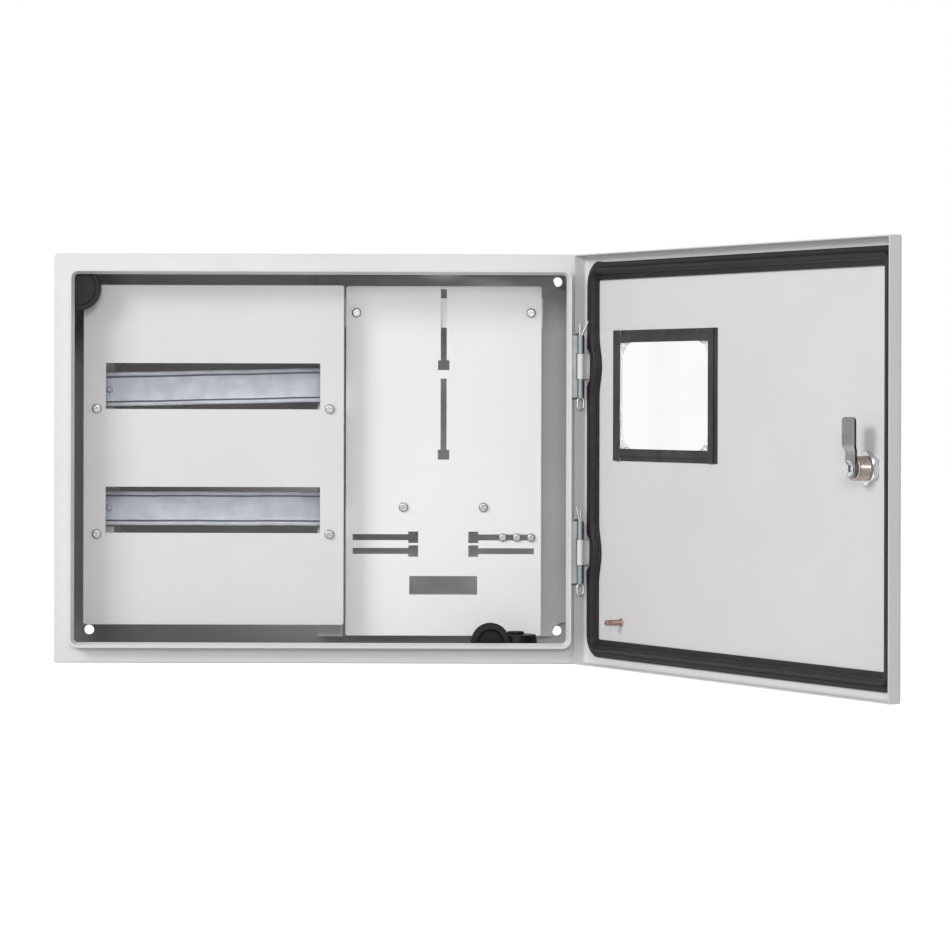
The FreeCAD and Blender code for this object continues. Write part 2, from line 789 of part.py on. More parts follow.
def meter_bridge(name, spread, level):
    """Strip bent into a bridge: feet on the mounting panel, web behind the meter plate."""
    body = new_body(name)
    centre = size("meter_centre")
    seat = size("panel_standoff")
    half = spread / 2 + size("bridge_margin")
    foot = size("bridge_foot")
    low = level - size("bridge_width") / 2
    section = sketch_on(body, "Section", "XY_Plane", low)
    draw_polygon(section, [
        (centre - half, -seat),
        (centre - half + foot, -seat),
        (centre - half + foot, -seat - bracket),
        (centre - half + bracket, -seat - bracket),
        (centre - half + bracket, bracket - meter_back),
        (centre + half - bracket, bracket - meter_back),
        (centre + half - bracket, -seat - bracket),
        (centre + half - foot, -seat - bracket),
        (centre + half - foot, -seat),
        (centre + half, -seat),
        (centre + half, -meter_back),
        (centre - half, -meter_back),
    ])
    pad(body, section, size("bridge_width"))
    holes = sketch_on(body, "Holes", "XZ_Plane", meter_back - bracket)
    for side in (-1, 1):
        draw_circle(holes, centre + side * spread / 2, level, screw_hole)
    cut(body, holes, 2 * bracket)
    return keep(body)


def draw_upright_slot(sketch, across, top):
    """Narrow slot whose lower end is wide enough for a screw head."""
    narrow = size("slot_width") / 2
    wide = size("slot_wide") / 2
    end = top - size("high_slot_length")
    shoulder = end + size("slot_wide_length")
    draw_polygon(sketch, [
        (across - narrow, top),
        (across - narrow, shoulder),
        (across - wide, shoulder),
        (across - wide, end),
        (across + wide, end),
        (across + wide, shoulder),
        (across + narrow, shoulder),
        (across + narrow, top),
    ])


def draw_level_slot(sketch, side, level):
    """Level slot: the wide end is nearest the plate's middle."""
    narrow = size("slot_width") / 2
    wide = size("slot_wide") / 2
    start = size("side_slot_gap") / 2
    shoulder = start + size("slot_wide_length")
    end = side_slot_end
    centre = size("meter_centre")
    draw_polygon(sketch, [
        (centre + side * start, level - wide),
        (centre + side * shoulder, level - wide),
        (centre + side * shoulder, level - narrow),
        (centre + side * end, level - narrow),
        (centre + side * end, level + narrow),
        (centre + side * shoulder, level + narrow),
        (centre + side * shoulder, level + wide),
        (centre + side * start, level + wide),
    ])


def meter_plate():
    """Flat plate with the slots that hold a meter of any make."""
    body = new_body("meter_plate")
    centre = size("meter_centre")
    half = size("meter_width") / 2
    outline = sketch_on(body, "Outline", "XZ_Plane", meter_back)
    draw_rounded(
        outline,
        centre - half,
        centre + half,
        meter_bottom,
        meter_top,
        size("meter_corner"),
    )
    pad(body, outline, size("meter_sheet"))
    slots = sketch_on(body, "Slots", "XZ_Plane", meter_back)
    high_slot_top = meter_top - size("high_slot_drop")
    draw_upright_slot(slots, centre, high_slot_top)
    draw_upright_slot(slots, centre, high_slot_top - size("high_slot_step"))
    for side in (-1, 1):
        draw_level_slot(slots, side, side_slot_level)
        draw_level_slot(slots, side, side_slot_level - size("side_slot_step"))
    wire_top = meter_bottom + size("wire_hole_rise")
    wire_half = size("wire_hole_width") / 2
    draw_rectangle(
        slots, centre - wire_half, centre + wire_half, wire_top - size("wire_hole_height"), wire_top
    )
    for across, level in meter_screw_places():
        draw_circle(slots, across, level, screw_hole)
    cut(body, slots, 2 * size("meter_sheet"))
    return keep(body)


# Fasteners

def prism(flats, height):
    """Hexagonal bar along Z, with its flats facing X."""
    corner = flats / 2 / cos(radians(30))
    points = [
        Vector(corner * cos(radians(30 + 60 * step)), corner * sin(radians(30 + 60 * step)), 0)
        for step in range(7)
    ]
    return Part.Face(Part.makePolygon(points)).extrude(Vector(0, 0, height))


def pan_screw(head_radius, head_height, shank_radius, length):
    """Cross-recess pan-head screw: head up along Z from 0, shank down."""
    head = Part.makeCylinder(head_radius, head_height)
    rim = [edge for edge in head.Edges if lies_at(edge, z=head_height)]
    head = head.makeFillet(head_height * 0.6, rim)
    bar = head_radius * 1.15
    blade = head_radius * 0.24
    for long_x, long_y in ((bar, blade), (blade, bar)):
        corner = Vector(-long_x / 2, -long_y / 2, head_height * 0.35)
        head = head.cut(Part.makeBox(long_x, long_y, head_height, corner))
    shank = Part.makeCylinder(shank_radius, length, Vector(0, 0, -length))
    return head.fuse(shank).removeSplitter()


def facing_front(shape, across, front, level, turned=0):
    """Copy of a fastener whose Z axis points out of the cabinet."""
    copy = shape.copy()
    spin = Rotation(ALONG_Z, turned)
    copy.Placement = Placement(
        Vector(float(across), -float(front), float(level)), Rotation(ALONG_X, 90) * spin
    )
    return copy


def standard_screw(length):
    return pan_screw(
        float(size("screw_head_radius")),
        float(size("screw_head_height")),
        float(size("screw_radius")),
        length,
    )


def rail_rivet_places():
    """Rivets through the rails' webs, which follow the upper rail's tilt."""
    middle = float(size("rail_left") + size("rail_right")) / 2
    slope = tan(radians(float(size("upper_rail_tilt"))))
    places = []
    for across in (size("rivet_left"), size("rivet_right")):
        rise = (float(across) - middle) * slope
        places.append((across, float(size("upper_rail_level")) + rise))
        places.append((across, lower_rail_level))
    return places


def fasteners():
    screw = standard_screw(float(size("screw_length")))
    turns = (20, 65, 5, 40)
    group_of("cover_screws", [
        facing_front(screw, across, size("cover_front"), level, turned)
        for (across, level), turned in zip(cover_screw_places(), turns)
    ])
    group_of("meter_plate_screws", [
        facing_front(screw, across, size("meter_front"), level, turned)
        for (across, level), turned in zip(meter_screw_places(), turns)
    ])
    spacer = prism(float(size("standoff_flats")), float(cover_back - rail_seat))
    hole = Part.makeCylinder(float(screw_hole), float(cover_back - rail_seat))
    group_of("cover_standoffs", [
        facing_front(spacer.cut(hole), across, rail_seat, level)
        for across, level in cover_screw_places()
    ])
    rivet = Part.makeCylinder(float(size("rivet_radius")), float(size("rivet_height")))
    rim = [edge for edge in rivet.Edges if lies_at(edge, z=size("rivet_height"))]
    rivet = rivet.makeFillet(float(size("rivet_height")) * 0.7, rim)
    web_front = rail_seat + size("rail_sheet")
    group_of("rail_rivets", [
        facing_front(rivet, across, web_front, level)
        for across, level in rail_rivet_places()
    ])
    fixing = pan_screw(
        float(size("fixing_head_radius")),
        float(size("screw_head_height")),
        float(size("screw_radius")),
        float(size("fixing_screw_length")),
    )
    nut = prism(float(size("nut_flats")), float(size("nut_height")))
    nut = nut.cut(Part.makeCylinder(float(screw_hole), float(size("nut_height"))))
    last = size("meter_centre") + side_slot_end - size("fixing_end")
    places = [last - step * size("fixing_pitch") for step in (2, 1, 0)]
    level = side_slot_level
    fixing_turns = (10, 50, 80)
    group_of("meter_fixing_screws", [
        facing_front(fixing, across, size("meter_front"), level, turned)
        for across, turned in zip(places, fixing_turns)
    ])
    group_of("meter_fixing_nuts", [
        facing_front(nut, across, meter_back - size("nut_height"), level)
        for across in places
    ])


# Rubber grommets, supplied loose

def turned_piece(name, half_section):
    body = new_body(name)
    section = sketch_on(body, "Section", "XZ_Plane")
    draw_polygon(section, half_section)
    turn(body, section)
    return keep(body)


def large_grommet(name):
    """Closed grommet: ringed membrane below, groove for the sheet, stepped body and collar."""
    radius = size("grommet_radius")
    tall = size("grommet_height")
    groove = size("top_entry_radius") - 0.5
    collar = size("grommet_collar")
    shoulder = tall - 4.8
    return turned_piece(name, [
        (0, 1),
        (17, 1),
        (17, 4),
        (18.5, 4),
        (18.5, 0),
        (radius - 0.5, 0),
        (radius, 0.5),
        (radius, 7),
        (groove, 7.5),
        (groove, 10.5),
        (radius, 11),
        (radius, 16),
        (groove + 0.5, shoulder),
        (collar, shoulder),
        (collar, tall - 0.6),
        (collar - 0.6, tall),
        (collar - 2.5, tall),
        (collar - 2.5, tall - 1),
        (0, tall - 1),
    ])


def small_grommet(name):
    """Ring grommet with a groove for the sheet and a thin closed membrane."""
    radius = size("small_grommet_radius")
    bore = size("small_grommet_bore")
    tall = size("small_grommet_height")
    groove = size("entry_radius") - 0.5
    return turned_piece(name, [
        (0, 0),
        (bore + 0.4, 0),
        (radius, 0.6),
        (radius, 4),
        (groove, 4.4),
        (groove, 7),
        (radius, 7.4),
        (radius, tall - 1),
        (radius - 1, tall),
        (bore + 1, tall),
        (bore, tall - 1),
        (bore, 1.2),
        (0, 1.2),
    ])


def place_grommets():
    floor = thick - half_height
    small_grommet("grommet_standing")
    piece = nodes[-1]
    piece.Placement = Placement(
        Vector(
            float(size("standing_across")),
            float(size("small_grommet_height") - size("standing_back")),
            float(floor + size("small_grommet_radius")),
        ),
        Rotation(ALONG_X, 90),
    )
    piece.setExpression("Placement.Base.x", size("standing_across").text)
    piece.setExpression(
        "Placement.Base.y", (size("small_grommet_height") - size("standing_back")).text
    )
    piece.setExpression("Placement.Base.z", (floor + size("small_grommet_radius")).text)
    large_grommet("grommet_flat")
    piece = nodes[-1]
    piece.setExpression("Placement.Base.x", size("flat_across").text)
    piece.setExpression("Placement.Base.y", (-size("flat_back")).text)
    piece.setExpression("Placement.Base.z", floor.text)
    large_grommet("grommet_corner")
    piece = nodes[-1]
    piece.Placement = Placement(Vector(0, 0, 0), Rotation(ALONG_X, -90))
    beside_wall = thick - half_width + size("grommet_radius") + 0.2
    piece.setExpression("Placement.Base.x", beside_wall.text)
    piece.setExpression("Placement.Base.y", (thick - depth + 0.3).text)
    piece.setExpression("Placement.Base.z", (half_height - size("corner_drop")).text)
    doc.recompute()


# Hinges

def body_leaf(name, level):
    """Zinc-plated leaf welded to the rain lip, with the hinge's two outer knuckles."""
    body = new_body(name)
    metal = size("leaf_sheet")
    lip_face = half_width - size("lip_inset") - pivot_across
    frame_face = size("pivot_front")
    half = size("hinge_height") / 2
    low = level - half
    strip = sketch_on(body, "Strip", "XY_Plane", low)
    front = as_size(0.1)
    inside_knuckle = 0.4
    reach = inside_knuckle - size("knuckle_radius")
    draw_polygon(strip, [
        (lip_face, frame_face),
        (lip_face, front),
        (reach, front),
        (reach, front + metal),
        (lip_face + metal, front + metal),
        (lip_face + metal, frame_face),
    ])
    pad(body, strip, size("hinge_height"))
    knuckle = sketch_on(body, "Knuckle", "XY_Plane", low)
    draw_circle(knuckle, 0, 0, size("knuckle_radius"))
    pad(body, knuckle, size("hinge_height"))
    bore = sketch_on(body, "Bore", "XY_Plane", low)
    draw_circle(bore, 0, 0, size("pin_radius") + size("pin_clearance"))
    cut(body, bore, size("hinge_height"))
    gap = size("door_knuckle") + 2 * size("knuckle_gap")
    middle = sketch_on(body, "Middle", "XY_Plane", level - gap / 2)
    past_knuckle = 0.8
    room = size("knuckle_radius") + past_knuckle
    draw_rectangle(middle, -room, room, -room, room)
    cut(body, middle, gap)
    body.setExpression("Placement.Base.x", pivot_across.text)
    body.setExpression("Placement.Base.y", pivot_back.text)
    doc.recompute()
    return keep(body)


def door_leaf(name, level):
    """Painted leaf welded inside the door: one knuckle, a neck and a foot with a bowed edge."""
    body = new_body(name)
    metal = size("leaf_sheet")
    tall = size("door_knuckle")
    low = level - tall / 2
    neck_out = as_size(1.1)
    neck = sketch_on(body, "Neck", "XY_Plane", low)
    draw_rectangle(neck, neck_out - metal, neck_out, -door_face, 0)
    pad(body, neck, tall)
    foot = sketch_on(body, "Foot", "XZ_Plane", door_face - metal)
    reach = 3.2
    draw_polygon(foot, [
        (neck_out, low),
        (0, low),
        (-0.7 * reach, low + tall * 0.16),
        (-reach, low + tall * 0.36),
        (-reach, low + tall * 0.64),
        (-0.7 * reach, low + tall * 0.84),
        (0, low + tall),
        (neck_out, low + tall),
    ])
    pad(body, foot, metal)
    knuckle = sketch_on(body, "Knuckle", "XY_Plane", low)
    draw_circle(knuckle, 0, 0, size("knuckle_radius"))
    pad(body, knuckle, tall)
    bore = sketch_on(body, "Bore", "XY_Plane", low)
    draw_circle(bore, 0, 0, size("pin_radius") + size("pin_clearance"))
    cut(body, bore, tall)
    hang_on_door(body)
    doc.recompute()
    return keep(body)


def split_pin(name, level, turned, legs):
    """Split pin: eye below the hinge, round shank, and two legs bent apart above it.

    legs holds the lean in degrees and the length of each leg.
    """
    wire = float(size("pin_wire"))
    eye = float(size("eye_radius"))
    straight = float(size("eye_straight"))
    proud = 0.3
    sunk = 0.2
    half = float(size("hinge_height")) / 2 + proud
    shank = Part.makeCylinder(float(size("pin_radius")), 2 * half, Vector(0, 0, -half))
    eye_top = sunk - proud - half - eye
    upper = Part.makeTorus(eye, wire, Vector(0, 0, eye_top), ALONG_Y)
    lower = Part.makeTorus(eye, wire, Vector(0, 0, eye_top - straight), ALONG_Y)
    box_reach = 2 * (eye + wire)
    corner = Vector(-box_reach / 2, -box_reach / 2, eye_top - straight)
    between = Part.makeBox(box_reach, box_reach, straight, corner)
    pieces = [upper.cut(between), lower.cut(between)]
    for side in (-1, 1):
        pieces.append(Part.makeCylinder(wire, straight, Vector(side * eye, 0, eye_top - straight)))
    for side, (lean, length) in zip((-1, 1), legs):
        foot = Vector(side * wire, 0, half - sunk)
        direction = Vector(sin(radians(lean)), 0, cos(radians(lean)))
        pieces.append(Part.makeCylinder(wire, length + wire, foot, direction))
    feature = doc.addObject("Part::Feature", name)
    feature.Label = name
    feature.Shape = shank.multiFuse(pieces).removeSplitter()
    feature.Placement = Placement(
        Vector(float(pivot_across), float(pivot_back), float(level)), Rotation(ALONG_Z, turned)
    )
    return keep(feature)


# Door

def door_panel():
    """Folded door tray with its window, lock hole and the notches at the hinges."""
    body = new_body("door_panel")
    outer_face = door_face + thick
    flange_end = outer_face - size("door_flange")
    outline = sketch_on(body, "Outline", "XZ_Plane", flange_end)
    draw_rectangle(outline, door_left, door_right, -door_half, door_half)
    pad(body, outline, size("door_flange"))
    inside = sketch_on(body, "Inside", "XZ_Plane", flange_end)
    draw_rectangle(
        inside, door_left + thick, door_right - thick, thick - door_half, door_half - thick
    )
    cut(body, inside, size("door_flange") - thick)
    for face, radius in ((outer_face, size("door_bend")), (door_face, size("door_bend") - thick)):
        round_edges(body, radius, lambda edge: lies_at(edge, y=-face))
    holes = sketch_on(body, "Holes", "XZ_Plane", door_face)
    right = door_right - size("window_from_hinge")
    bottom = size("window_bottom")
    draw_rounded(
        holes,
        right - size("window_width"),
        right,
        bottom,
        bottom + size("window_height"),
        size("window_corner"),
    )
    draw_circle(holes, lock_across, size("lock_level"), size("lock_radius") + 0.2)
    cut(body, holes, 2 * thick)
    half = size("hinge_notch_height") / 2
    for name, side in (("UpperNotch", 1), ("LowerNotch", -1)):
        notch = sketch_on(body, name, "YZ_Plane", door_right - 2 * thick)
        level = side * size("hinge_level")
        notch_start = -flange_end - size("hinge_notch_depth")
        draw_rectangle(notch, notch_start, 1 - flange_end, level - half, level + half)
        cut(body, notch, 3 * thick)
    hang_on_door(body)
    return keep(body)


def door_gasket():
    """Rubber profile stuck inside the door, over the rain lip when the door is closed."""
    body = new_body("door_gasket")
    tall = size("pivot_front") + door_face - size("lip_height") - size("gasket_gap")
    outer = size("gasket_inset")
    inner = outer + size("gasket_width")
    side = size("gasket_side")
    low = sketch_on(body, "Low", "XZ_Plane", door_face - size("gasket_base"))
    draw_polygon(low, gasket_edge(outer))
    draw_polygon(low, gasket_edge(inner))
    pad(body, low, size("gasket_base"))
    high = sketch_on(body, "High", "XZ_Plane", door_face - tall)
    draw_polygon(high, gasket_edge(outer + side))
    draw_polygon(high, gasket_edge(inner - side))
    pad(body, high, tall)
    for inset, radius in ((outer, size("gasket_corner")), (inner, size("gasket_corner") / 2)):
        round_edges(body, radius, lambda edge: at_gasket_corner(edge, inset))
    hang_on_door(body)
    return keep(body)


def gasket_edge(inset):
    """Corners of the gasket's edge: it bows away from the hinges on the hinge side."""
    right = door_right - inset
    left = door_left + inset
    top = door_half - inset
    steps = 10
    corners = [(left, -top), (right, -top)]
    for side in (-1, 1):
        for step in range(steps + 1):
            share = step / steps
            bow = (1 - cos(radians(360 * share))) / 2
            level = side * size("hinge_level") + (share - 0.5) * size("gasket_bow_length")
            corners.append((right - bow * size("gasket_bow"), level))
    return corners + [(right, top), (left, top)]


def at_gasket_corner(edge, inset):
    box = edge.BoundBox
    across = (float(door_left + inset), float(door_right - inset))
    level = float(door_half - inset)
    return (
        runs_along(edge, ALONG_Y)
        and min(abs(box.Center.x - side) for side in across) < 1e-4
        and abs(abs(box.Center.z) - level) < 1e-4
    )


def window_bounds(side_reach, level_reach):
    """Left, right, bottom and top of a rectangle that stands out round the window."""
    right = door_right - size("window_from_hinge")
    left = right - size("window_width")
    bottom = size("window_bottom")
    top = bottom + size("window_height")
    return left - side_reach, right + side_reach, bottom - level_reach, top + level_reach


def window_pane():
    body = new_body("window_pane")
    margin = size("pane_margin")
    left, right, bottom, top = window_bounds(margin, margin * 0.7)
    outline = sketch_on(body, "Outline", "XZ_Plane", door_face - size("pane_sheet"))
    draw_rectangle(outline, left, right, bottom, top)
    pad(body, outline, size("pane_sheet"))
    hang_on_door(body)
    return keep(body)


def tape(name, along, outer, step, inner, start, end, sign):
    """Adhesive tape over one edge of the pane: outer part on the door, inner part on the pane.

    along is the plane whose normal the tape follows; outer, step and inner are the tape's outer
    edge, the pane's edge and the tape's inner edge, measured across the tape.
    """
    body = new_body(name)
    film = size("tape_sheet")
    base = -door_face
    raised = base + size("pane_sheet")
    section = sketch_on(body, "Section", along, start)
    outline = [
        (outer, base),
        (step + sign * 0.05, base),
        (step + sign * 0.05, raised),
        (inner, raised),
        (inner, raised + film),
        (step + sign * (film + 0.05), raised + film),
        (step + sign * (film + 0.05), base + film),
        (outer, base + film),
    ]
    if along == "YZ_Plane":
        outline = [(up, across) for across, up in outline]
    draw_polygon(section, outline)
    pad(body, section, end - start)
    hang_on_door(body)
    return keep(body)


def window_tapes():
    """Four strips of black tape; the upright ones run the full height."""
    margin = size("pane_margin")
    pane_left, pane_right, pane_bottom, pane_top = window_bounds(margin, margin * 0.7)
    left, right, bottom, top = window_bounds(size("tape_reach"), size("tape_reach_level"))
    side = size("tape_side")
    level = size("tape_level")
    tape("window_tape_left", "XY_Plane", left, pane_left, left + side, bottom, top, -1)
    tape("window_tape_right", "XY_Plane", right, pane_right, right - side, bottom, top, 1)
    start = left + side
    end = right - side
    tape("window_tape_bottom", "YZ_Plane", bottom, pane_bottom, bottom + level, start, end, -1)
    tape("window_tape_top", "YZ_Plane", top, pane_top, top - level, start, end, 1)


def door_turned(name, half_section, across, level):
    """A turned piece on the door: the section's second coordinate runs into the cabinet."""
    body = new_body(name)
    section = sketch_on(body, "Section", "XY_Plane")
    draw_polygon(section, half_section)
    turn(body, section)
    spot = Vector(float(across), 0, float(level))
    door = Placement(
        Vector(float(pivot_across), float(pivot_back), 0),
        Rotation(ALONG_Z, float(size("door_opening"))),
    )
    body.Placement = door * Placement(spot, Rotation())
    return keep(body)


def earth_stud():
    radius = size("stud_radius")
    end = size("stud_length") - door_face
    across = door_right - size("stud_from_hinge")
    door_turned("earth_stud", [
        (0, -door_face),
        (radius + 1, -door_face),
        (radius + 1, 0.6 - door_face),
        (radius, 1 - door_face),
        (radius, end - 0.8),
        (radius - 0.8, end),
        (0, end),
    ], across, (size("stud_rise") - half_height))


# Quarter-turn lock

def lock_pieces():
    head_back = -(door_face + thick + size("lock_seal_height"))
    head_front = head_back - size("lock_head_height")
    inner_end = size("lock_inside") - door_face
    body_radius = size("lock_radius")
    bore = size("rotor_radius") + size("rotor_clearance")
    collar = size("rotor_radius") + 2
    collar_back = head_front + 4
    door_turned("lock_housing", [
        (collar + size("rotor_clearance"), head_front),
        (size("lock_head_radius") - 1.5, head_front),
        (size("lock_head_radius"), head_front + 1.5),
        (size("lock_head_radius"), head_back),
        (body_radius, head_back),
        (body_radius, inner_end - 0.8),
        (body_radius - 0.8, inner_end),
        (bore, inner_end),
        (bore, collar_back),
        (collar + size("rotor_clearance"), collar_back),
    ], lock_across, size("lock_level"))
    door_turned("lock_seal", [
        (body_radius + 0.3, head_back),
        (size("lock_head_radius") - 0.5, head_back),
        (size("lock_head_radius") - 0.5, -(door_face + thick)),
        (body_radius + 0.3, -(door_face + thick)),
    ], lock_across, size("lock_level"))
    nut = prism(float(size("lock_nut_flats")), float(size("lock_nut_height")))
    rim = Part.makeCylinder(
        float(size("lock_nut_flats")) * 0.56, float(size("lock_nut_height"))
    )
    edges = [edge for edge in rim.Edges if lies_at(edge, z=size("lock_nut_height"))]
    rim = rim.makeChamfer(float(size("lock_nut_height")) * 0.18, edges)
    nut = nut.common(rim)
    nut = nut.cut(
        Part.makeCylinder(float(body_radius) + 0.05, float(size("lock_nut_height")))
    )
    on_door_axis("lock_nut", nut, -door_face)
    rotor_pieces(head_front, inner_end, collar, collar_back)


def on_door_axis(name, shape, start):
    """Place a shape built along Z so that it starts at a depth on the lock's axis."""
    feature = doc.addObject("Part::Feature", name)
    feature.Label = name
    inward = Placement(
        Vector(float(lock_across), float(start), float(size("lock_level"))),
        Rotation(ALONG_X, -90),
    )
    door = Placement(
        Vector(float(pivot_across), float(pivot_back), 0),
        Rotation(ALONG_Z, float(size("door_opening"))),
    )
    feature.Shape = shape
    feature.Placement = door * inward
    return keep(feature)


def rotor_pieces(head_front, inner_end, collar, collar_back):
    """The turning core with its key recess, and the cam that is bolted to it."""
    start = float(head_front) + 0.8
    end = float(inner_end)
    core = Part.makeCylinder(float(size("rotor_radius")), end - start)
    core = core.fuse(Part.makeCylinder(float(collar), float(collar_back) - start - 0.1))
    well = Part.makeCylinder(float(size("rotor_radius")) * 0.72, 7)
    key = Part.makeCylinder(1.7, 7)
    key = key.fuse(Part.makeBox(7.2, 1.6, 7, Vector(-3.6, -0.8, 0)))
    core = core.cut(well.cut(key))
    square = 7.0
    cam_seat = float(size("cam_sheet")) - 0.2
    drive = Part.makeBox(square, square, cam_seat, Vector(-square / 2, -square / 2, end - start))
    core = core.fuse(drive)
    bolt_depth = 10
    hole = Part.makeCylinder(
        float(size("cam_bolt_radius")) + 0.1,
        bolt_depth + cam_seat,
        Vector(0, 0, end - start - bolt_depth),
    )
    on_door_axis("lock_rotor", core.cut(hole).removeSplitter(), start)
    cam(end, square + 0.2)
    washer_start = end + float(size("cam_sheet"))
    washer = Part.makeCylinder(
        float(size("cam_washer_radius")), float(size("cam_washer_height"))
    )
    opening = Part.makeCylinder(
        float(size("cam_bolt_radius")) + 0.15, float(size("cam_washer_height"))
    )
    on_door_axis("cam_washer", washer.cut(opening), washer_start)
    head_start = washer_start + float(size("cam_washer_height"))
    head = prism(float(size("cam_bolt_flats")), float(size("cam_bolt_head")))
    length = head_start - end + bolt_depth - 1
    shank = Part.makeCylinder(float(size("cam_bolt_radius")), length, Vector(0, 0, -length))
    on_door_axis("cam_bolt", head.fuse(shank).removeSplitter(), head_start)


def cam(seat, square):
    """Cranked cam: pointing up it is unlocked, pointing at the door's free side it holds."""
    body = new_body("cam")
    metal = size("cam_sheet")
    crank = size("cam_crank")
    first = size("cam_crank_start")
    second = size("cam_crank_end")
    reach = size("cam_reach")
    tail = -size("cam_tail")
    level = size("lock_level")
    base = as_size(seat) if not isinstance(seat, Size) else seat
    section = sketch_on(body, "Section", "YZ_Plane", lock_across - size("cam_width") / 2)
    draw_polygon(section, [
        (base, level + tail),
        (base, level + first),
        (base + crank, level + second),
        (base + crank, level + reach),
        (base + crank + metal, level + reach),
        (base + crank + metal, level + second),
        (base + metal, level + first),
        (base + metal, level + tail),
    ])
    pad(body, section, size("cam_width"))
    hole = sketch_on(body, "Hole", "XZ_Plane", -base)
    half = square / 2
    draw_rectangle(
        hole, lock_across - half, lock_across + half, level - half, level + half
    )
    cut(body, hole, 2 * metal, forward=False)
    round_edges(
        body,
        size("cam_width") / 2 - 1.5,
        lambda edge: runs_along(edge, ALONG_Y) and lies_at(edge, z=level + tail),
    )
    round_edges(
        body,
        size("cam_width") / 4,
        lambda edge: runs_along(edge, ALONG_Y) and lies_at(edge, z=level + reach),
    )
    hang_on_door(body)
    return keep(body)


# Whole box

cabinet_shell()
back_panel()
mounting_panel()
left_upright()
centre_upright()
din_rail("upper_din_rail", size("upper_rail_level"), size("upper_rail_tilt"))
din_rail("lower_din_rail", lower_rail_level, as_size(0))
cover_plate()
meter_bridge("upper_meter_bridge", meter_screw_spread, meter_screw_top)
meter_bridge("lower_meter_bridge", size("meter_low_spread"), meter_low_level)
meter_plate()
fasteners()
place_grommets()
door_panel()
door_gasket()
window_pane()
window_tapes()
for place, side in (("upper", 1), ("lower", -1)):
    body_leaf(f"{place}_body_hinge_leaf", side * size("hinge_level"))
    door_leaf(f"{place}_door_hinge_leaf", side * size("hinge_level"))
split_pin("upper_split_pin", size("hinge_level"), 20, ((0, 10.5), (27, 15.5)))
split_pin("lower_split_pin", -size("hinge_level"), 20, ((-12, 14.5), (-5, 12)))
earth_stud()
lock_pieces()

doc.recompute()
for item in doc.Objects:
    if "Invalid" in item.State or "Error" in item.State:
        raise RuntimeError(f"{item.Name} failed: {item.State}")
for node in nodes:
    if node.Shape.isNull() or not node.Shape.isValid():
        raise RuntimeError(f"{node.Label} has no valid shape")

os.makedirs("parts", exist_ok=True)
for node in nodes:
    node.Shape.exportStep(f"parts/{node.Label}.step")
    print(node.Label, len(node.Shape.Solids), round(node.Shape.Volume, 1))
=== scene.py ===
import bpy
from math import cos, exp, pi, radians, sin
from mathutils import Matrix, Vector


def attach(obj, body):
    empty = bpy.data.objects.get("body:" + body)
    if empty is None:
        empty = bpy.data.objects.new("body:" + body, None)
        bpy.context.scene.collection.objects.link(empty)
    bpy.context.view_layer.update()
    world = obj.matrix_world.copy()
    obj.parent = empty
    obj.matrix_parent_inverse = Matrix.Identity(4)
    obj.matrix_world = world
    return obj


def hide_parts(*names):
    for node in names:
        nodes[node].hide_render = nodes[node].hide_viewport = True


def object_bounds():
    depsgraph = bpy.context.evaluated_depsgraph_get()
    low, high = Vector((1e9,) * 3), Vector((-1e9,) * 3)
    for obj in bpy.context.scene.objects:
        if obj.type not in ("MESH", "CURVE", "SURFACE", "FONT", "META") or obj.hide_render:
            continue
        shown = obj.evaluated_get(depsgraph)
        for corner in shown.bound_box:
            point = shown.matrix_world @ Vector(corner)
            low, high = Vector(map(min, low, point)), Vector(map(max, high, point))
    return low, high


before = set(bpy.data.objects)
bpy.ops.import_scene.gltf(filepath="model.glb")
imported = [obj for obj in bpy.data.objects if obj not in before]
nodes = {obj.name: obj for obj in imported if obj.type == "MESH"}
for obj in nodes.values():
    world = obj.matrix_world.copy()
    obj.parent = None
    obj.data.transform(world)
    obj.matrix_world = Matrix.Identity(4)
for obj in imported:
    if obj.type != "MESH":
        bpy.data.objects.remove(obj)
cad_low, cad_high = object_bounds()

MM = 0.001
UPRIGHT = Matrix.Rotation(pi / 2, 4, "X")

# The door as it stands open, then places on it when closed, in millimetres: across from the hinge
# axis, into the cabinet from it, and up from the middle.
DOOR_PLACE = Matrix.Translation((0.2605, -0.1908, 0)) @ Matrix.Rotation(radians(118), 4, "Z")
DOOR_RIGHT = 6
DOOR_LEFT = -527
DOOR_HALF = 205
DOOR_FACE = -10
HINGE_LEVEL = 93
LOCK_ACROSS = DOOR_RIGHT - 485.5

# The seal: its inset from the door's edge, then how it bends and bows, in millimetres.
SEAL_INSET = 8.3
SEAL_WIDTH = 17.7
SEAL_LIP = 4.3
SEAL_CORNER = 17
SEAL_INNER_CORNER = 1.5
SEAL_FREE_SHIFT = 2.5
SEAL_BOW = 4.7
SEAL_BOW_LENGTH = 62
SEAL_NOTCH = 5.2
SEAL_NOTCH_HALF = 18.5
SEAL_NOTCH_EASE = 5
SEAL_SPREAD = 3.4
SEAL_SPREAD_END = DOOR_HALF - 12
SEAL_SPREAD_EASE = 18
SEAL_HUMP = 1.1
SEAL_HUMP_ACROSS = DOOR_RIGHT - 24
SEAL_HUMP_WIDTH = 8
SEAL_SIDE_STEPS = (132, 44, 36, 44)
SEAL_BEND_STEPS = 8


# Camera, floor and light

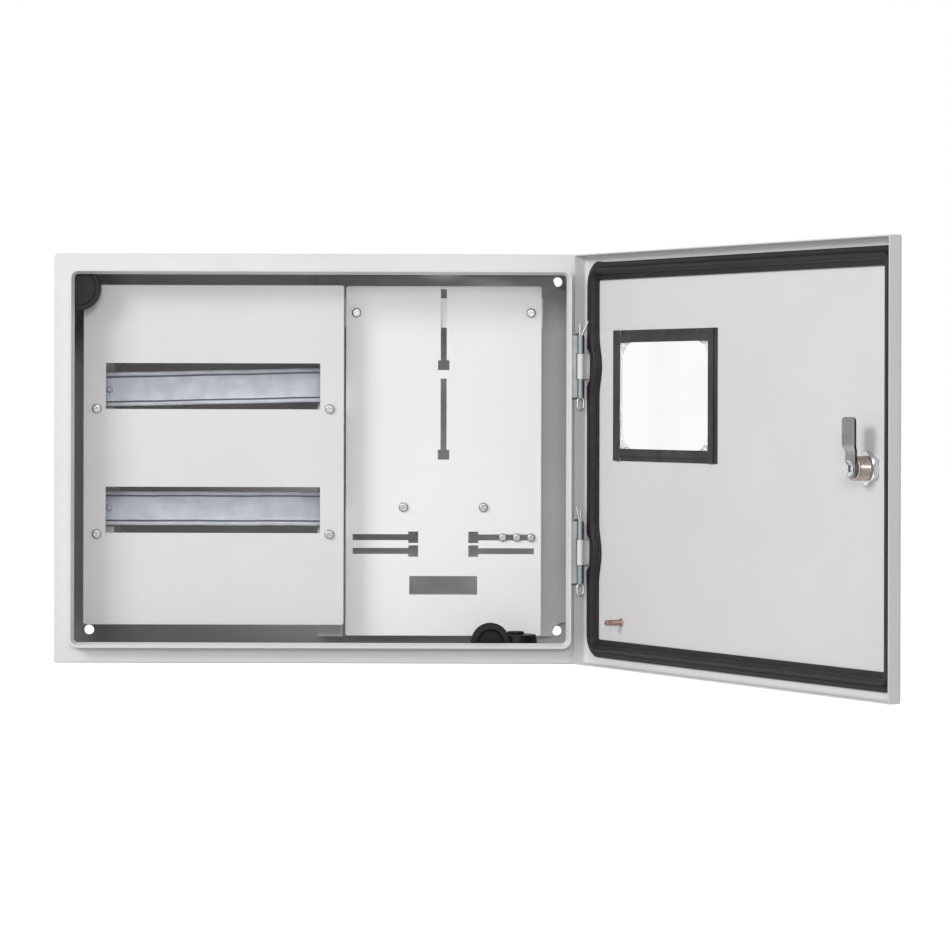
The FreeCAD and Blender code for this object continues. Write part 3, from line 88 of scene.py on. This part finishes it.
def camera():
    """A long lens square to the front of the cabinet, a little to its right and above it."""
    data = bpy.data.cameras.new("camera")
    data.lens = 137.96
    data.sensor_width = 36
    data.shift_x = 0.0939
    data.shift_y = -0.0812
    data.clip_end = 50
    holder = bpy.data.objects.new("camera", data)
    place = Matrix.Translation((0.0647, -3.826, 0.062))
    roll = Matrix.Rotation(radians(0.15), 4, "Z")
    holder.matrix_world = place @ UPRIGHT @ roll
    bpy.context.scene.collection.objects.link(holder)
    bpy.context.scene.camera = holder


def area_light(name, place, aim, width, height, power):
    data = bpy.data.lights.new(name, "AREA")
    data.shape = "RECTANGLE"
    data.size = width
    data.size_y = height
    data.energy = power
    holder = bpy.data.objects.new(name, data)
    turn = (Vector(aim) - Vector(place)).to_track_quat("-Z", "Y").to_matrix().to_4x4()
    holder.matrix_world = Matrix.Translation(place) @ turn
    bpy.context.scene.collection.objects.link(holder)


def world_light(level):
    """An even sky; the camera, mirrors and the pane see it white whatever its level."""
    world = bpy.data.worlds.new("studio")
    bpy.context.scene.world = world
    world.use_nodes = True
    tree = world.node_tree
    background = tree.nodes["Background"]
    path = tree.nodes.new("ShaderNodeLightPath")
    seen = path.outputs["Is Camera Ray"]
    for kind in ("Is Glossy Ray", "Is Transmission Ray"):
        either = tree.nodes.new("ShaderNodeMath")
        either.operation = "MAXIMUM"
        tree.links.new(seen, either.inputs[0])
        tree.links.new(path.outputs[kind], either.inputs[1])
        seen = either.outputs[0]
    strength = tree.nodes.new("ShaderNodeMapRange")
    strength.inputs["To Min"].default_value = level
    strength.inputs["To Max"].default_value = 1
    tree.links.new(seen, strength.inputs["Value"])
    tree.links.new(strength.outputs[0], background.inputs["Strength"])
    background.inputs["Color"].default_value = (1, 1, 1, 1)


# Shader sockets that work in Python expressions

def colour(code):
    """Linear colour of a #rrggbb code."""
    parts = [int(code[start:start + 2], 16) / 255 for start in (1, 3, 5)]
    linear = [part / 12.92 if part <= 0.04045 else ((part + 0.055) / 1.055) ** 2.4 for part in parts]
    return (*linear, 1)


def shade(code, level):
    """The same colour at a share of its brightness."""
    return (*(part * level for part in colour(code)[:3]), 1)


class Socket:
    """A shader output; arithmetic on it adds Math nodes."""

    def __init__(self, finish, output):
        self.finish = finish
        self.output = output

    def maths(self, operation, *values):
        made = self.finish.tree.nodes.new("ShaderNodeMath")
        made.operation = operation
        for slot, value in zip(made.inputs, values):
            self.finish.feed(slot, value)
        return Socket(self.finish, made.outputs[0])

    def __add__(self, other):
        return self.maths("ADD", self, other)

    def __radd__(self, other):
        return self.maths("ADD", other, self)

    def __rsub__(self, other):
        return self.maths("SUBTRACT", other, self)

    def __mul__(self, other):
        return self.maths("MULTIPLY", self, other)

    def __rmul__(self, other):
        return self.maths("MULTIPLY", other, self)

    def at_least(self, other):
        return self.maths("MAXIMUM", self, other)

    def ramp(self, low, high):
        """0 at low, 1 at high, smooth between."""
        return self.finish.node(
            "MapRange",
            {"interpolation_type": "SMOOTHSTEP"},
            Value=self,
            From_Min=low,
            From_Max=high,
        )


class Finish:
    """A material for one kind of surface of the box."""

    def __init__(self, name):
        self.material = bpy.data.materials.new(name)
        self.material.use_nodes = True
        self.tree = self.material.node_tree
        self.shader = self.tree.nodes["Principled BSDF"]

    def feed(self, slot, value):
        if isinstance(value, Socket):
            self.tree.links.new(value.output, slot)
        else:
            slot.default_value = value

    def node(self, kind, settings=None, output=0, **values):
        made = self.tree.nodes.new("ShaderNode" + kind)
        for key, value in (settings or {}).items():
            setattr(made, key, value)
        for key, value in values.items():
            self.feed(made.inputs[key.replace("_", " ")], value)
        return Socket(self, made.outputs[output])

    def mix(self, factor, first, second):
        made = self.tree.nodes.new("ShaderNodeMix")
        made.data_type = "RGBA"
        for slot, value in zip((0, 6, 7), (factor, first, second)):
            self.feed(made.inputs[slot], value)
        return Socket(self, made.outputs[2])

    def place(self):
        return self.node("TexCoord", output=3)

    def stretched(self, across, deep, high):
        """Object coordinates scaled differently along each axis."""
        return self.node("Mapping", Vector=self.place(), Scale=(across, deep, high))

    def noise(self, scale, detail=2, where=None):
        return self.node(
            "TexNoise", Vector=where or self.place(), Scale=scale, Detail=detail, Roughness=0.5
        )

    def relief(self, height, strength, distance, edge=0.0):
        """Bump from a height, over edges that look rounded by the given radius."""
        values = {"Height": height, "Strength": strength, "Distance": distance}
        if edge:
            values["Normal"] = self.node("Bevel", {"samples": 4}, Radius=edge)
        return self.node("Bump", **values)

    def surface(self, **values):
        for key, value in values.items():
            self.feed(self.shader.inputs[key.replace("_", " ")], value)
        return self.material


def powder_coat(name, tone, edge=0.0006):
    """Light grey powder paint: a faint orange peel and slightly uneven gloss."""
    finish = Finish(name)
    cloud = finish.noise(7, 3)
    peel = finish.noise(650, 2)
    grain = finish.noise(2600, 1)
    speck = finish.noise(420, 4).ramp(0.66, 0.72)
    base = finish.mix(cloud.ramp(0.3, 0.7), colour(tone), shade(tone, 0.96))
    base = finish.mix(speck * 0.10, base, colour("#a9a7a4"))
    return finish.surface(
        Base_Color=base,
        Roughness=0.36 + 0.14 * cloud + 0.05 * grain,
        Normal=finish.relief(peel + 0.3 * grain, 0.10, 0.0003, edge),
        Specular_IOR_Level=0.45,
    )


def zinc(name, tone, dull, stretch=(1, 1, 1), edge=0.0004):
    """Zinc plate, drawn along one direction and a little cloudy; dull is its least roughness."""
    finish = Finish(name)
    cloud = finish.noise(60, 3)
    streak = finish.noise(900, 2, finish.stretched(*stretch))
    uneven = 0.6 * cloud.ramp(0.3, 0.7) + 0.4 * streak
    base = finish.mix(uneven, colour(tone), shade(tone, 0.84))
    return finish.surface(
        Base_Color=base,
        Metallic=1.0,
        Roughness=dull + 0.1 * cloud + 0.08 * streak,
        Normal=finish.relief(streak, 0.08, 0.0002, edge),
    )


def rubber(name, tone):
    """Black rubber with a soft sheen and dusty, uneven gloss."""
    finish = Finish(name)
    cloud = finish.noise(90, 4)
    grain = finish.noise(1500, 2)
    base = finish.mix(cloud.ramp(0.45, 0.8), colour(tone), shade(tone, 2.2))
    return finish.surface(
        Base_Color=base,
        Roughness=0.34 + 0.2 * cloud,
        Normal=finish.relief(grain, 0.12, 0.0003),
        Specular_IOR_Level=0.24,
    )


def tape_film():
    """Matt black cloth tape with small creases, its colour painted darker in their hollows as shade
    and lighter on their crests as light.
    """
    finish = Finish("black_tape")
    crease = finish.noise(70, 5, finish.stretched(1, 1, 0.35))
    weave = finish.noise(1800, 1)
    # Painted shade and light: the base is darker where the creases sink and lighter where they rise.
    base = finish.mix(crease.ramp(0.35, 0.7), colour("#343233"), colour("#434141"))
    return finish.surface(
        Base_Color=base,
        Roughness=0.55 + 0.15 * crease,
        Specular_IOR_Level=0.25,
        Normal=finish.relief(crease + 0.1 * weave, 0.35, 0.0006),
    )


def clear_sheet():
    """Clear plastic with a little haze; most light that makes shadows passes it."""
    finish = Finish("clear_sheet")
    haze = finish.noise(25, 3)
    shadow_ray = finish.node("LightPath", output=1)
    return finish.surface(
        Base_Color=(0.97, 0.98, 0.98, 1),
        Roughness=0.04 + 0.05 * haze,
        Transmission_Weight=1.0,
        IOR=1.2,
        Alpha=1 - 0.85 * shadow_ray,
    )


def copper_plate():
    """Dull copper plate, browned here and there."""
    finish = Finish("stud_copper")
    cloud = finish.noise(300, 3)
    return finish.surface(
        Base_Color=finish.mix(cloud.ramp(0.3, 0.7), colour("#a08379"), colour("#786360")),
        Metallic=1.0,
        Roughness=0.3 + 0.15 * cloud,
        Normal=finish.relief(cloud, 0.05, 0.0002, 0.0003),
    )


def label_paper():
    """Smooth white paper."""
    finish = Finish("label_paper")
    fibre = finish.noise(700, 3)
    return finish.surface(
        Base_Color=finish.mix(fibre, colour("#dfdcdd"), colour("#d5d2d3")),
        Roughness=0.45 + 0.1 * fibre,
        Normal=finish.relief(fibre, 0.05, 0.0002),
    )


def floor_paint():
    """Pale floor that reads white to the camera, mirrors and the pane."""
    finish = Finish("floor")
    glossy = finish.node("LightPath", output=3)
    transmitted = finish.node("LightPath", output=6)
    seen = finish.node("LightPath").at_least(glossy).at_least(transmitted)
    return finish.surface(
        Base_Color=(0.55, 0.55, 0.55, 1),
        Roughness=0.9,
        Specular_IOR_Level=0.0,
        Emission_Color=(1, 1, 1, 1),
        Emission_Strength=seen * 0.95,
    )


def floor():
    """A large plane just below the lowest part of the box."""
    gap = 0.0003
    bpy.ops.object.select_all(action="DESELECT")
    bpy.ops.mesh.primitive_plane_add(size=14, location=(0, 2.0, cad_low.z - gap))
    ground = bpy.context.object
    ground.name = "floor"
    ground.data.materials.append(floor_paint())


def dress(finish, *names):
    """Give CAD nodes a finish."""
    for name in names:
        slots = nodes[name].data.materials
        slots.clear()
        slots.append(finish)


# Pieces laid out from grids of corners in millimetres

def eased(share):
    """0 below 0, 1 above 1, smooth between."""
    share = min(1, max(0, share))
    return share * share * (3 - 2 * share)


def laid_out(name, columns, rows, spot):
    """A grid whose corners move to spot(column, row); edges that meet are then joined."""
    bpy.ops.object.select_all(action="DESELECT")
    bpy.ops.mesh.primitive_grid_add(x_subdivisions=columns, y_subdivisions=rows, size=1)
    piece = bpy.context.object
    piece.name = name
    piece.data.name = name
    for corner in piece.data.vertices:
        column = round((corner.co.x + 0.5) * columns)
        row = round((corner.co.y + 0.5) * rows)
        corner.co = Vector(spot(column, row)) * MM
    bpy.ops.object.mode_set(mode="EDIT")
    bpy.ops.mesh.select_all(action="SELECT")
    bpy.ops.mesh.remove_doubles(threshold=1e-6)
    bpy.ops.mesh.normals_make_consistent(inside=False)
    bpy.ops.object.mode_set(mode="OBJECT")
    return piece


def finished(piece, finish, place, crease):
    """Smooth a piece up to the crease angle, move its mesh to its place and coat it."""
    bpy.ops.object.shade_smooth_by_angle(angle=radians(crease))
    piece.data.transform(place)
    piece.data.materials.append(finish)


def hung(piece, finish, crease, mover="door"):
    """Finish a piece and hang it on the open door, or on what turns in its lock."""
    finished(piece, finish, DOOR_PLACE, crease)
    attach(piece, mover)


def fixed(piece, finish, place, crease=40):
    """Finish a piece and set it in the cabinet."""
    finished(piece, finish, place, crease)
    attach(piece, "cabinet")


def rounded(corners):
    """Points round a section whose corners (across, up, radius) are square before they are bent."""
    bend_steps = 5
    points = []
    for here, (across, up, radius) in enumerate(corners):
        corner = Vector((across, up))
        before = (Vector(corners[here - 1][:2]) - corner).normalized()
        after = (Vector(corners[(here + 1) % len(corners)][:2]) - corner).normalized()
        middle = corner + (before + after) * radius
        for step in range(bend_steps + 1):
            turn = pi / 2 * step / bend_steps
            points.append(middle - after * radius * cos(turn) - before * radius * sin(turn))
    return points


def rolled_rail(name, node, level, tilt, finish):
    """Top-hat rail with the round bends of rolled sheet, very slightly out of true."""
    half = [
        (-1, 12.5, 0.9), (-7.5, 12.5, 1.9), (-7.5, 17.5, 0.3), (-6.5, 17.5, 0.3), (-6.5, 13.5, 0.9),
        (0, 13.5, 1.9),
    ]
    section = rounded(half + [(deep, -up, radius) for deep, up, radius in reversed(half)])
    length = 242
    columns = 60
    middle = (-101, -95.5, level)

    def spot(column, row):
        across = length * (column / columns - 0.5)
        deep, up = section[row % len(section)]
        sway = 0.12 * sin(across * 0.07 + level) + 0.06 * sin(across * 0.19)
        return across, deep + 0.5 * sway, up + sway

    rail = laid_out(name, columns, len(section), spot)
    bpy.ops.object.mode_set(mode="EDIT")
    bpy.ops.mesh.select_all(action="SELECT")
    bpy.ops.mesh.fill_holes(sides=0)
    bpy.ops.mesh.normals_make_consistent(inside=False)
    bpy.ops.object.mode_set(mode="OBJECT")
    place = Matrix.Translation(Vector(middle) * MM) @ Matrix.Rotation(radians(-tilt), 4, "Y")
    fixed(rail, finish, place)
    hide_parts(node)


def lying_grommet(finish):
    """Stepped rubber grommet that lies on the floor, closed by a small raised disc."""
    profile = (
        (0, 1), (17, 1), (17, 4), (18.5, 4), (18.5, 0), (21.8, 0), (22.3, 0.5), (22.3, 7),
        (19.5, 7.5), (19.5, 10.5), (22.3, 11), (22.3, 14), (20.7, 25), (20.2, 25.6), (19.2, 25.8),
        (9.2, 25.8), (8.6, 26.2), (8.6, 28.2), (8.2, 28.7), (7.2, 28.7), (6.8, 28.2), (0, 28.2),
    )
    piece = turned("lying_grommet", 0, 0, profile, columns=64)
    bottom = min(corner.co.z for corner in nodes["grommet_flat"].data.vertices)
    place = Matrix.Translation((0.198, -0.1375, bottom)) @ UPRIGHT
    fixed(piece, finish, place, 30)
    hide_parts("grommet_flat")


def seal_line(inset, bend):
    """Points once round the door at one distance from its edges, bowed past the hinges."""
    right = DOOR_RIGHT - inset
    left = DOOR_LEFT + inset - SEAL_FREE_SHIFT
    top = DOOR_HALF - inset
    corners = (
        (right - bend, bend - top),
        (right - bend, top - bend),
        (left + bend, top - bend),
        (left + bend, bend - top),
    )
    line = []
    for here, ((across, up), steps) in enumerate(zip(corners, SEAL_SIDE_STEPS)):
        for step in range(SEAL_BEND_STEPS + 1):
            angle = radians(90 * (here - 1) + 90 * step / SEAL_BEND_STEPS)
            line.append((across + bend * cos(angle), up + bend * sin(angle)))
        next_across, next_up = corners[(here + 1) % 4]
        begin = line[-1]
        end = (next_across + bend * cos(angle), next_up + bend * sin(angle))
        for step in range(1, steps):
            line.append(tuple(a + (b - a) * step / steps for a, b in zip(begin, end)))
    return [seal_wander(across, up, inset) for across, up in line]


def seal_wander(across, up, inset):
    """Bow round the hinges, the hump beside the upper corner, and a slight waviness."""
    inner = (inset - SEAL_INSET) / SEAL_WIDTH
    crown = max(0, 1 - abs(2 * inner - 1))
    from_hinge = abs(up) - HINGE_LEVEL
    if across > DOOR_RIGHT - SEAL_INSET - SEAL_WIDTH - 1:
        if abs(from_hinge) < SEAL_BOW_LENGTH / 2:
            across -= inner * SEAL_BOW * (1 + cos(2 * pi * from_hinge / SEAL_BOW_LENGTH)) / 2
            notch = eased((SEAL_NOTCH_HALF - abs(from_hinge)) / SEAL_NOTCH_EASE)
            across -= (1 - inner) * SEAL_NOTCH * notch
        across += crown * (0.3 * sin(up * 0.11) + 0.2 * sin(up * 0.31 + 1))
        lip = max(0, 1 - (inset - SEAL_INSET) / SEAL_LIP)
        along = min(1, max(0, (SEAL_SPREAD_END - abs(up)) / SEAL_SPREAD_EASE))
        across += SEAL_SPREAD * lip * along
    elif abs(up) > DOOR_HALF - SEAL_INSET - SEAL_WIDTH - 1:
        up += crown * (0.25 * sin(across * 0.07) + 0.15 * sin(across * 0.19 + 2))
    if up > DOOR_HALF - SEAL_INSET - 4:
        from_hump = (across - SEAL_HUMP_ACROSS) / SEAL_HUMP_WIDTH
        up += SEAL_HUMP * exp(-from_hump * from_hump) * (1 - crown)
    return across, up


def door_seal(finish):
    """Soft profile stuck round the door: two flat lips and a round bulb between them."""
    profile = (
        (0, 0), (0, 1.9), (0.5, 2.5), (1.5, 2.6), (4.3, 2.6), (4.7, 3.0), (4.9, 4.2), (5.6, 5.4),
        (6.9, 6.2), (8.85, 6.5), (10.8, 6.2), (12.1, 5.4), (12.8, 4.2), (13.0, 3.0), (13.4, 2.6),
        (16.2, 2.6), (17.2, 2.5), (17.7, 1.9), (17.7, 0), (0, 0),
    )
    lines = []
    for reach, height in profile:
        bend = SEAL_CORNER + (SEAL_INNER_CORNER - SEAL_CORNER) * reach / SEAL_WIDTH
        lines.append(seal_line(SEAL_INSET + reach, bend))
    count = len(lines[0])

    def spot(column, row):
        across, up = lines[row][column % count]
        return across, DOOR_FACE + profile[row][1], up

    seal = laid_out("door_seal", count, len(profile) - 1, spot)
    hung(seal, finish, 50)
    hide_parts("door_gasket")


def turned(name, across, level, profile, thread=None, columns=48):
    """A turned piece from its (radius, depth) profile; thread is (start, end, pitch, depth)."""
    rows_a_pitch = 6
    rows = []
    for (radius, deep), (next_radius, next_deep) in zip(profile, profile[1:]):
        rows.append((radius, deep))
        if thread and radius == next_radius and thread[0] <= deep <= next_deep <= thread[1]:
            steps = round((next_deep - deep) / thread[2] * rows_a_pitch)
            rows += [(radius, deep + (next_deep - deep) * step / steps) for step in range(1, steps)]
    rows.append(profile[-1])

    def spot(column, row):
        turn = column % columns / columns
        radius, deep = rows[row]
        if thread and thread[0] < deep < thread[1]:
            wave = ((deep - thread[0]) / thread[2] - turn) % 1
            fade = min(1, (deep - thread[0]) / thread[2], (thread[1] - deep) / thread[2])
            radius -= thread[3] * fade * abs(2 * wave - 1)
        angle = 2 * pi * turn
        return across + radius * cos(angle), deep, level + radius * sin(angle)

    return laid_out(name, columns, len(rows) - 1, spot)


def hexagonal(name, across, level, start, height, flats, bore, columns=72):
    """A nut, or a bolt head where bore is 0: six flats under a conical chamfer at both ends."""
    flat_reach = flats / 2
    slope = 1.7
    rises = (0, 0.3, 0.7, 1.2, 1.8)
    rows = [(bore, start), (bore, start + height)]
    rows += [(flat_reach + slope * rise, start + height - rise) for rise in rises]
    rows += [(flat_reach + slope * rise, start + rise) for rise in reversed(rises)]
    rows.append((bore, start))

    def spot(column, row):
        degrees = 360 * (column % columns) / columns
        radius, deep = rows[row]
        corner = flat_reach / cos(radians((degrees + 30) % 60 - 30))
        if radius > bore:
            radius = min(radius, corner)
        angle = radians(degrees)
        return across + radius * cos(angle), deep, level + radius * sin(angle)

    return laid_out(name, columns, len(rows) - 1, spot)


def lock(metal, plated):
    """Threaded lock body with its flanged head, and the chamfered nut that holds it."""
    profile = (
        (9.06, -16.7), (13.5, -16.7), (14.4, -16.4), (15, -15.5), (15, -12.2), (11, -12.2),
        (11, -4.5), (11, 8.2), (10.7, 8.6), (10.2, 9), (7.06, 9), (7.06, -12.7), (9.06, -12.7),
        (9.06, -16.7),
    )
    thread = (-4.5, 8.2, 1.5, 0.55)
    body = turned("lock_barrel", LOCK_ACROSS, 0, profile, thread, 64)
    hung(body, metal, 25)
    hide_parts("lock_housing")
    nut = hexagonal("lock_ring_nut", LOCK_ACROSS, 0, DOOR_FACE, height=6, flats=27, bore=11.05)
    hung(nut, plated, 25)
    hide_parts("lock_nut")


def lock_cam(plated):
    """Cam with a wider upper end and a soft step outwards, on the seat of the lock's core."""
    closed = DOOR_PLACE.inverted()
    seat = min((closed @ corner.co).y for corner in nodes["cam"].data.vertices) / MM + 0.1
    half_tail = 7.25
    widening = 2.1
    tail = -8.5
    reach = 45.5
    round_off = 4
    sheet = 2.9
    edge = 0.35
    step_out = 2.3
    arc = range(9)
    levels = [tail + half_tail * (1 - cos(pi * step / 16)) for step in arc]
    levels += [9, 12, 14, 15, 16, 17, 18, 19, 20, 21, 22, 28, 36, 41.5]
    levels += [reach - round_off * (1 - sin(pi * step / 16)) for step in arc[1:]]

    def half_width(level):
        half = half_tail + widening * eased((level - 13) / 9)
        below = (tail + half_tail - level) / half_tail
        if below > 0:
            half *= max(0, 1 - below ** 2) ** 0.5
        above = (level - reach + round_off) / round_off
        if above > 0:
            half -= round_off * (1 - max(0, 1 - above ** 2) ** 0.5)
        return half

    def spot(column, row):
        level = levels[min(row, len(levels) - 1)]
        half = half_width(level) if row < len(levels) else 0
        inner = max(0, half - edge)
        loop = (
            (-inner, 0), (inner, 0), (half, edge), (half, sheet - edge),
            (inner, sheet), (-inner, sheet), (-half, sheet - edge), (-half, edge),
        )
        across, rise = loop[column % 8]
        return LOCK_ACROSS + across, seat + step_out * eased((level - 14) / 7) + rise, level

    piece = laid_out("cranked_cam", 8, len(levels), spot)
    hung(piece, plated, 35, "lock_cam")
    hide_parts("cam")


def stud(copper):
    """Copper-plated weld stud with its thread."""
    profile = (
        (0, -10), (3.9, -10), (3.9, -9.5), (3.2, -9.2), (2.9, -8.8), (2.9, 7.2), (2.1, 8), (0, 8),
    )
    thread = (-8.8, 7.2, 1, 0.5)
    piece = turned("weld_stud", DOOR_RIGHT - 68, -160, profile, thread, 32)
    hung(piece, copper, 25)
    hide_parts("earth_stud")


def blank_label():
    """Blank sticker with rounded corners inside the door."""
    right = DOOR_RIGHT - 26
    width = 75
    low = 130
    height = 48
    sheet = 0.15
    middle = Vector((right - width / 2, DOOR_FACE + 0.08, low + height / 2))
    bpy.ops.object.select_all(action="DESELECT")
    bpy.ops.mesh.primitive_cube_add(size=1)
    label = bpy.context.object
    label.name = "blank_label"
    label.scale = Vector((width, sheet, height)) * MM
    label.location = middle * MM
    bpy.ops.object.transform_apply(location=True, rotation=False, scale=True)
    bpy.ops.object.mode_set(mode="EDIT")
    bpy.ops.mesh.select_mode(type="EDGE")
    bpy.ops.mesh.select_all(action="DESELECT")
    bpy.ops.object.mode_set(mode="OBJECT")
    for edge in label.data.edges:
        start, end = (label.data.vertices[index].co for index in edge.vertices)
        edge.select = abs((start - end).normalized().y) > 0.99
    bpy.ops.object.mode_set(mode="EDIT")
    bpy.ops.mesh.bevel(offset=2.5 * MM, segments=6)
    bpy.ops.object.mode_set(mode="OBJECT")
    label.data.transform(DOOR_PLACE)
    label.data.materials.append(label_paper())
    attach(label, "door")


# The scene

bpy.context.scene.view_settings.view_transform = "Standard"
camera()
floor()
world_light(0.45)
area_light("front", (0.05, -4.2, 1.0), (0, -0.1, 0), 1.0, 0.8, 42)
area_light("key", (-2.35, -2.3, 1.5), (0, -0.1, 0), 1.3, 1.0, 55)

paint = powder_coat("box_paint", "#e0dede")
# Whiter paint of the meter plate. On the mounting panel it is painted light: brighter than that
# panel's own paint, so the strip beside the meter plate reads as lit.
plate_paint_and_painted_light = powder_coat("plate_paint_and_painted_light", "#f3f2f2")
door_paint = powder_coat("door_paint", "#dddcdd")
rail_zinc = zinc("rail_zinc", "#b2b6bd", 0.46, (0.02, 1, 1))
hinge_zinc = zinc("hinge_zinc", "#8b9193", 0.42, (1, 1, 0.05))
pin_zinc = zinc("pin_zinc", "#d6d9da", 0.3)
screw_zinc = zinc("screw_zinc", "#a0a4a5", 0.22)
cam_zinc = zinc("cam_zinc", "#919595", 0.12, (1, 1, 0.1))
bolt_zinc = zinc("bolt_zinc", "#dcdfe0", 0.12)
nickel = zinc("lock_nickel", "#a99c95", 0.2)
black_rubber = rubber("black_rubber", "#080707")
gasket_rubber = rubber("gasket_rubber", "#1c1a1b")

dress(paint, "cabinet_shell", "back_panel", "left_support_channel", "centre_support_channel")
dress(paint, "upper_meter_bridge", "lower_meter_bridge", "din_cover_plate")
dress(paint, "upper_door_hinge_leaf", "lower_door_hinge_leaf")
# The mounting panel wears the whiter plate paint as painted light.
dress(plate_paint_and_painted_light, "meter_plate", "mounting_panel")
dress(door_paint, "door_panel")
dress(rail_zinc, "rail_rivets")
dress(hinge_zinc, "upper_body_hinge_leaf", "lower_body_hinge_leaf")
dress(pin_zinc, "upper_split_pin", "lower_split_pin")
dress(screw_zinc, "cover_screws", "meter_plate_screws", "meter_fixing_screws")
dress(screw_zinc, "meter_fixing_nuts", "cover_standoffs")
dress(bolt_zinc, "cam_washer", "cam_bolt")
dress(nickel, "lock_rotor")
dress(black_rubber, "grommet_standing", "grommet_corner", "lock_seal")
dress(tape_film(), "window_tape_left", "window_tape_right", "window_tape_top", "window_tape_bottom")
dress(clear_sheet(), "window_pane")

door_seal(gasket_rubber)
rolled_rail("upper_rolled_rail", "upper_din_rail", 71.8, 1.4, rail_zinc)
rolled_rail("lower_rolled_rail", "lower_din_rail", -52.6, 0, rail_zinc)
lying_grommet(black_rubber)
lock(nickel, bolt_zinc)
lock_cam(cam_zinc)
stud(copper_plate())
blank_label()
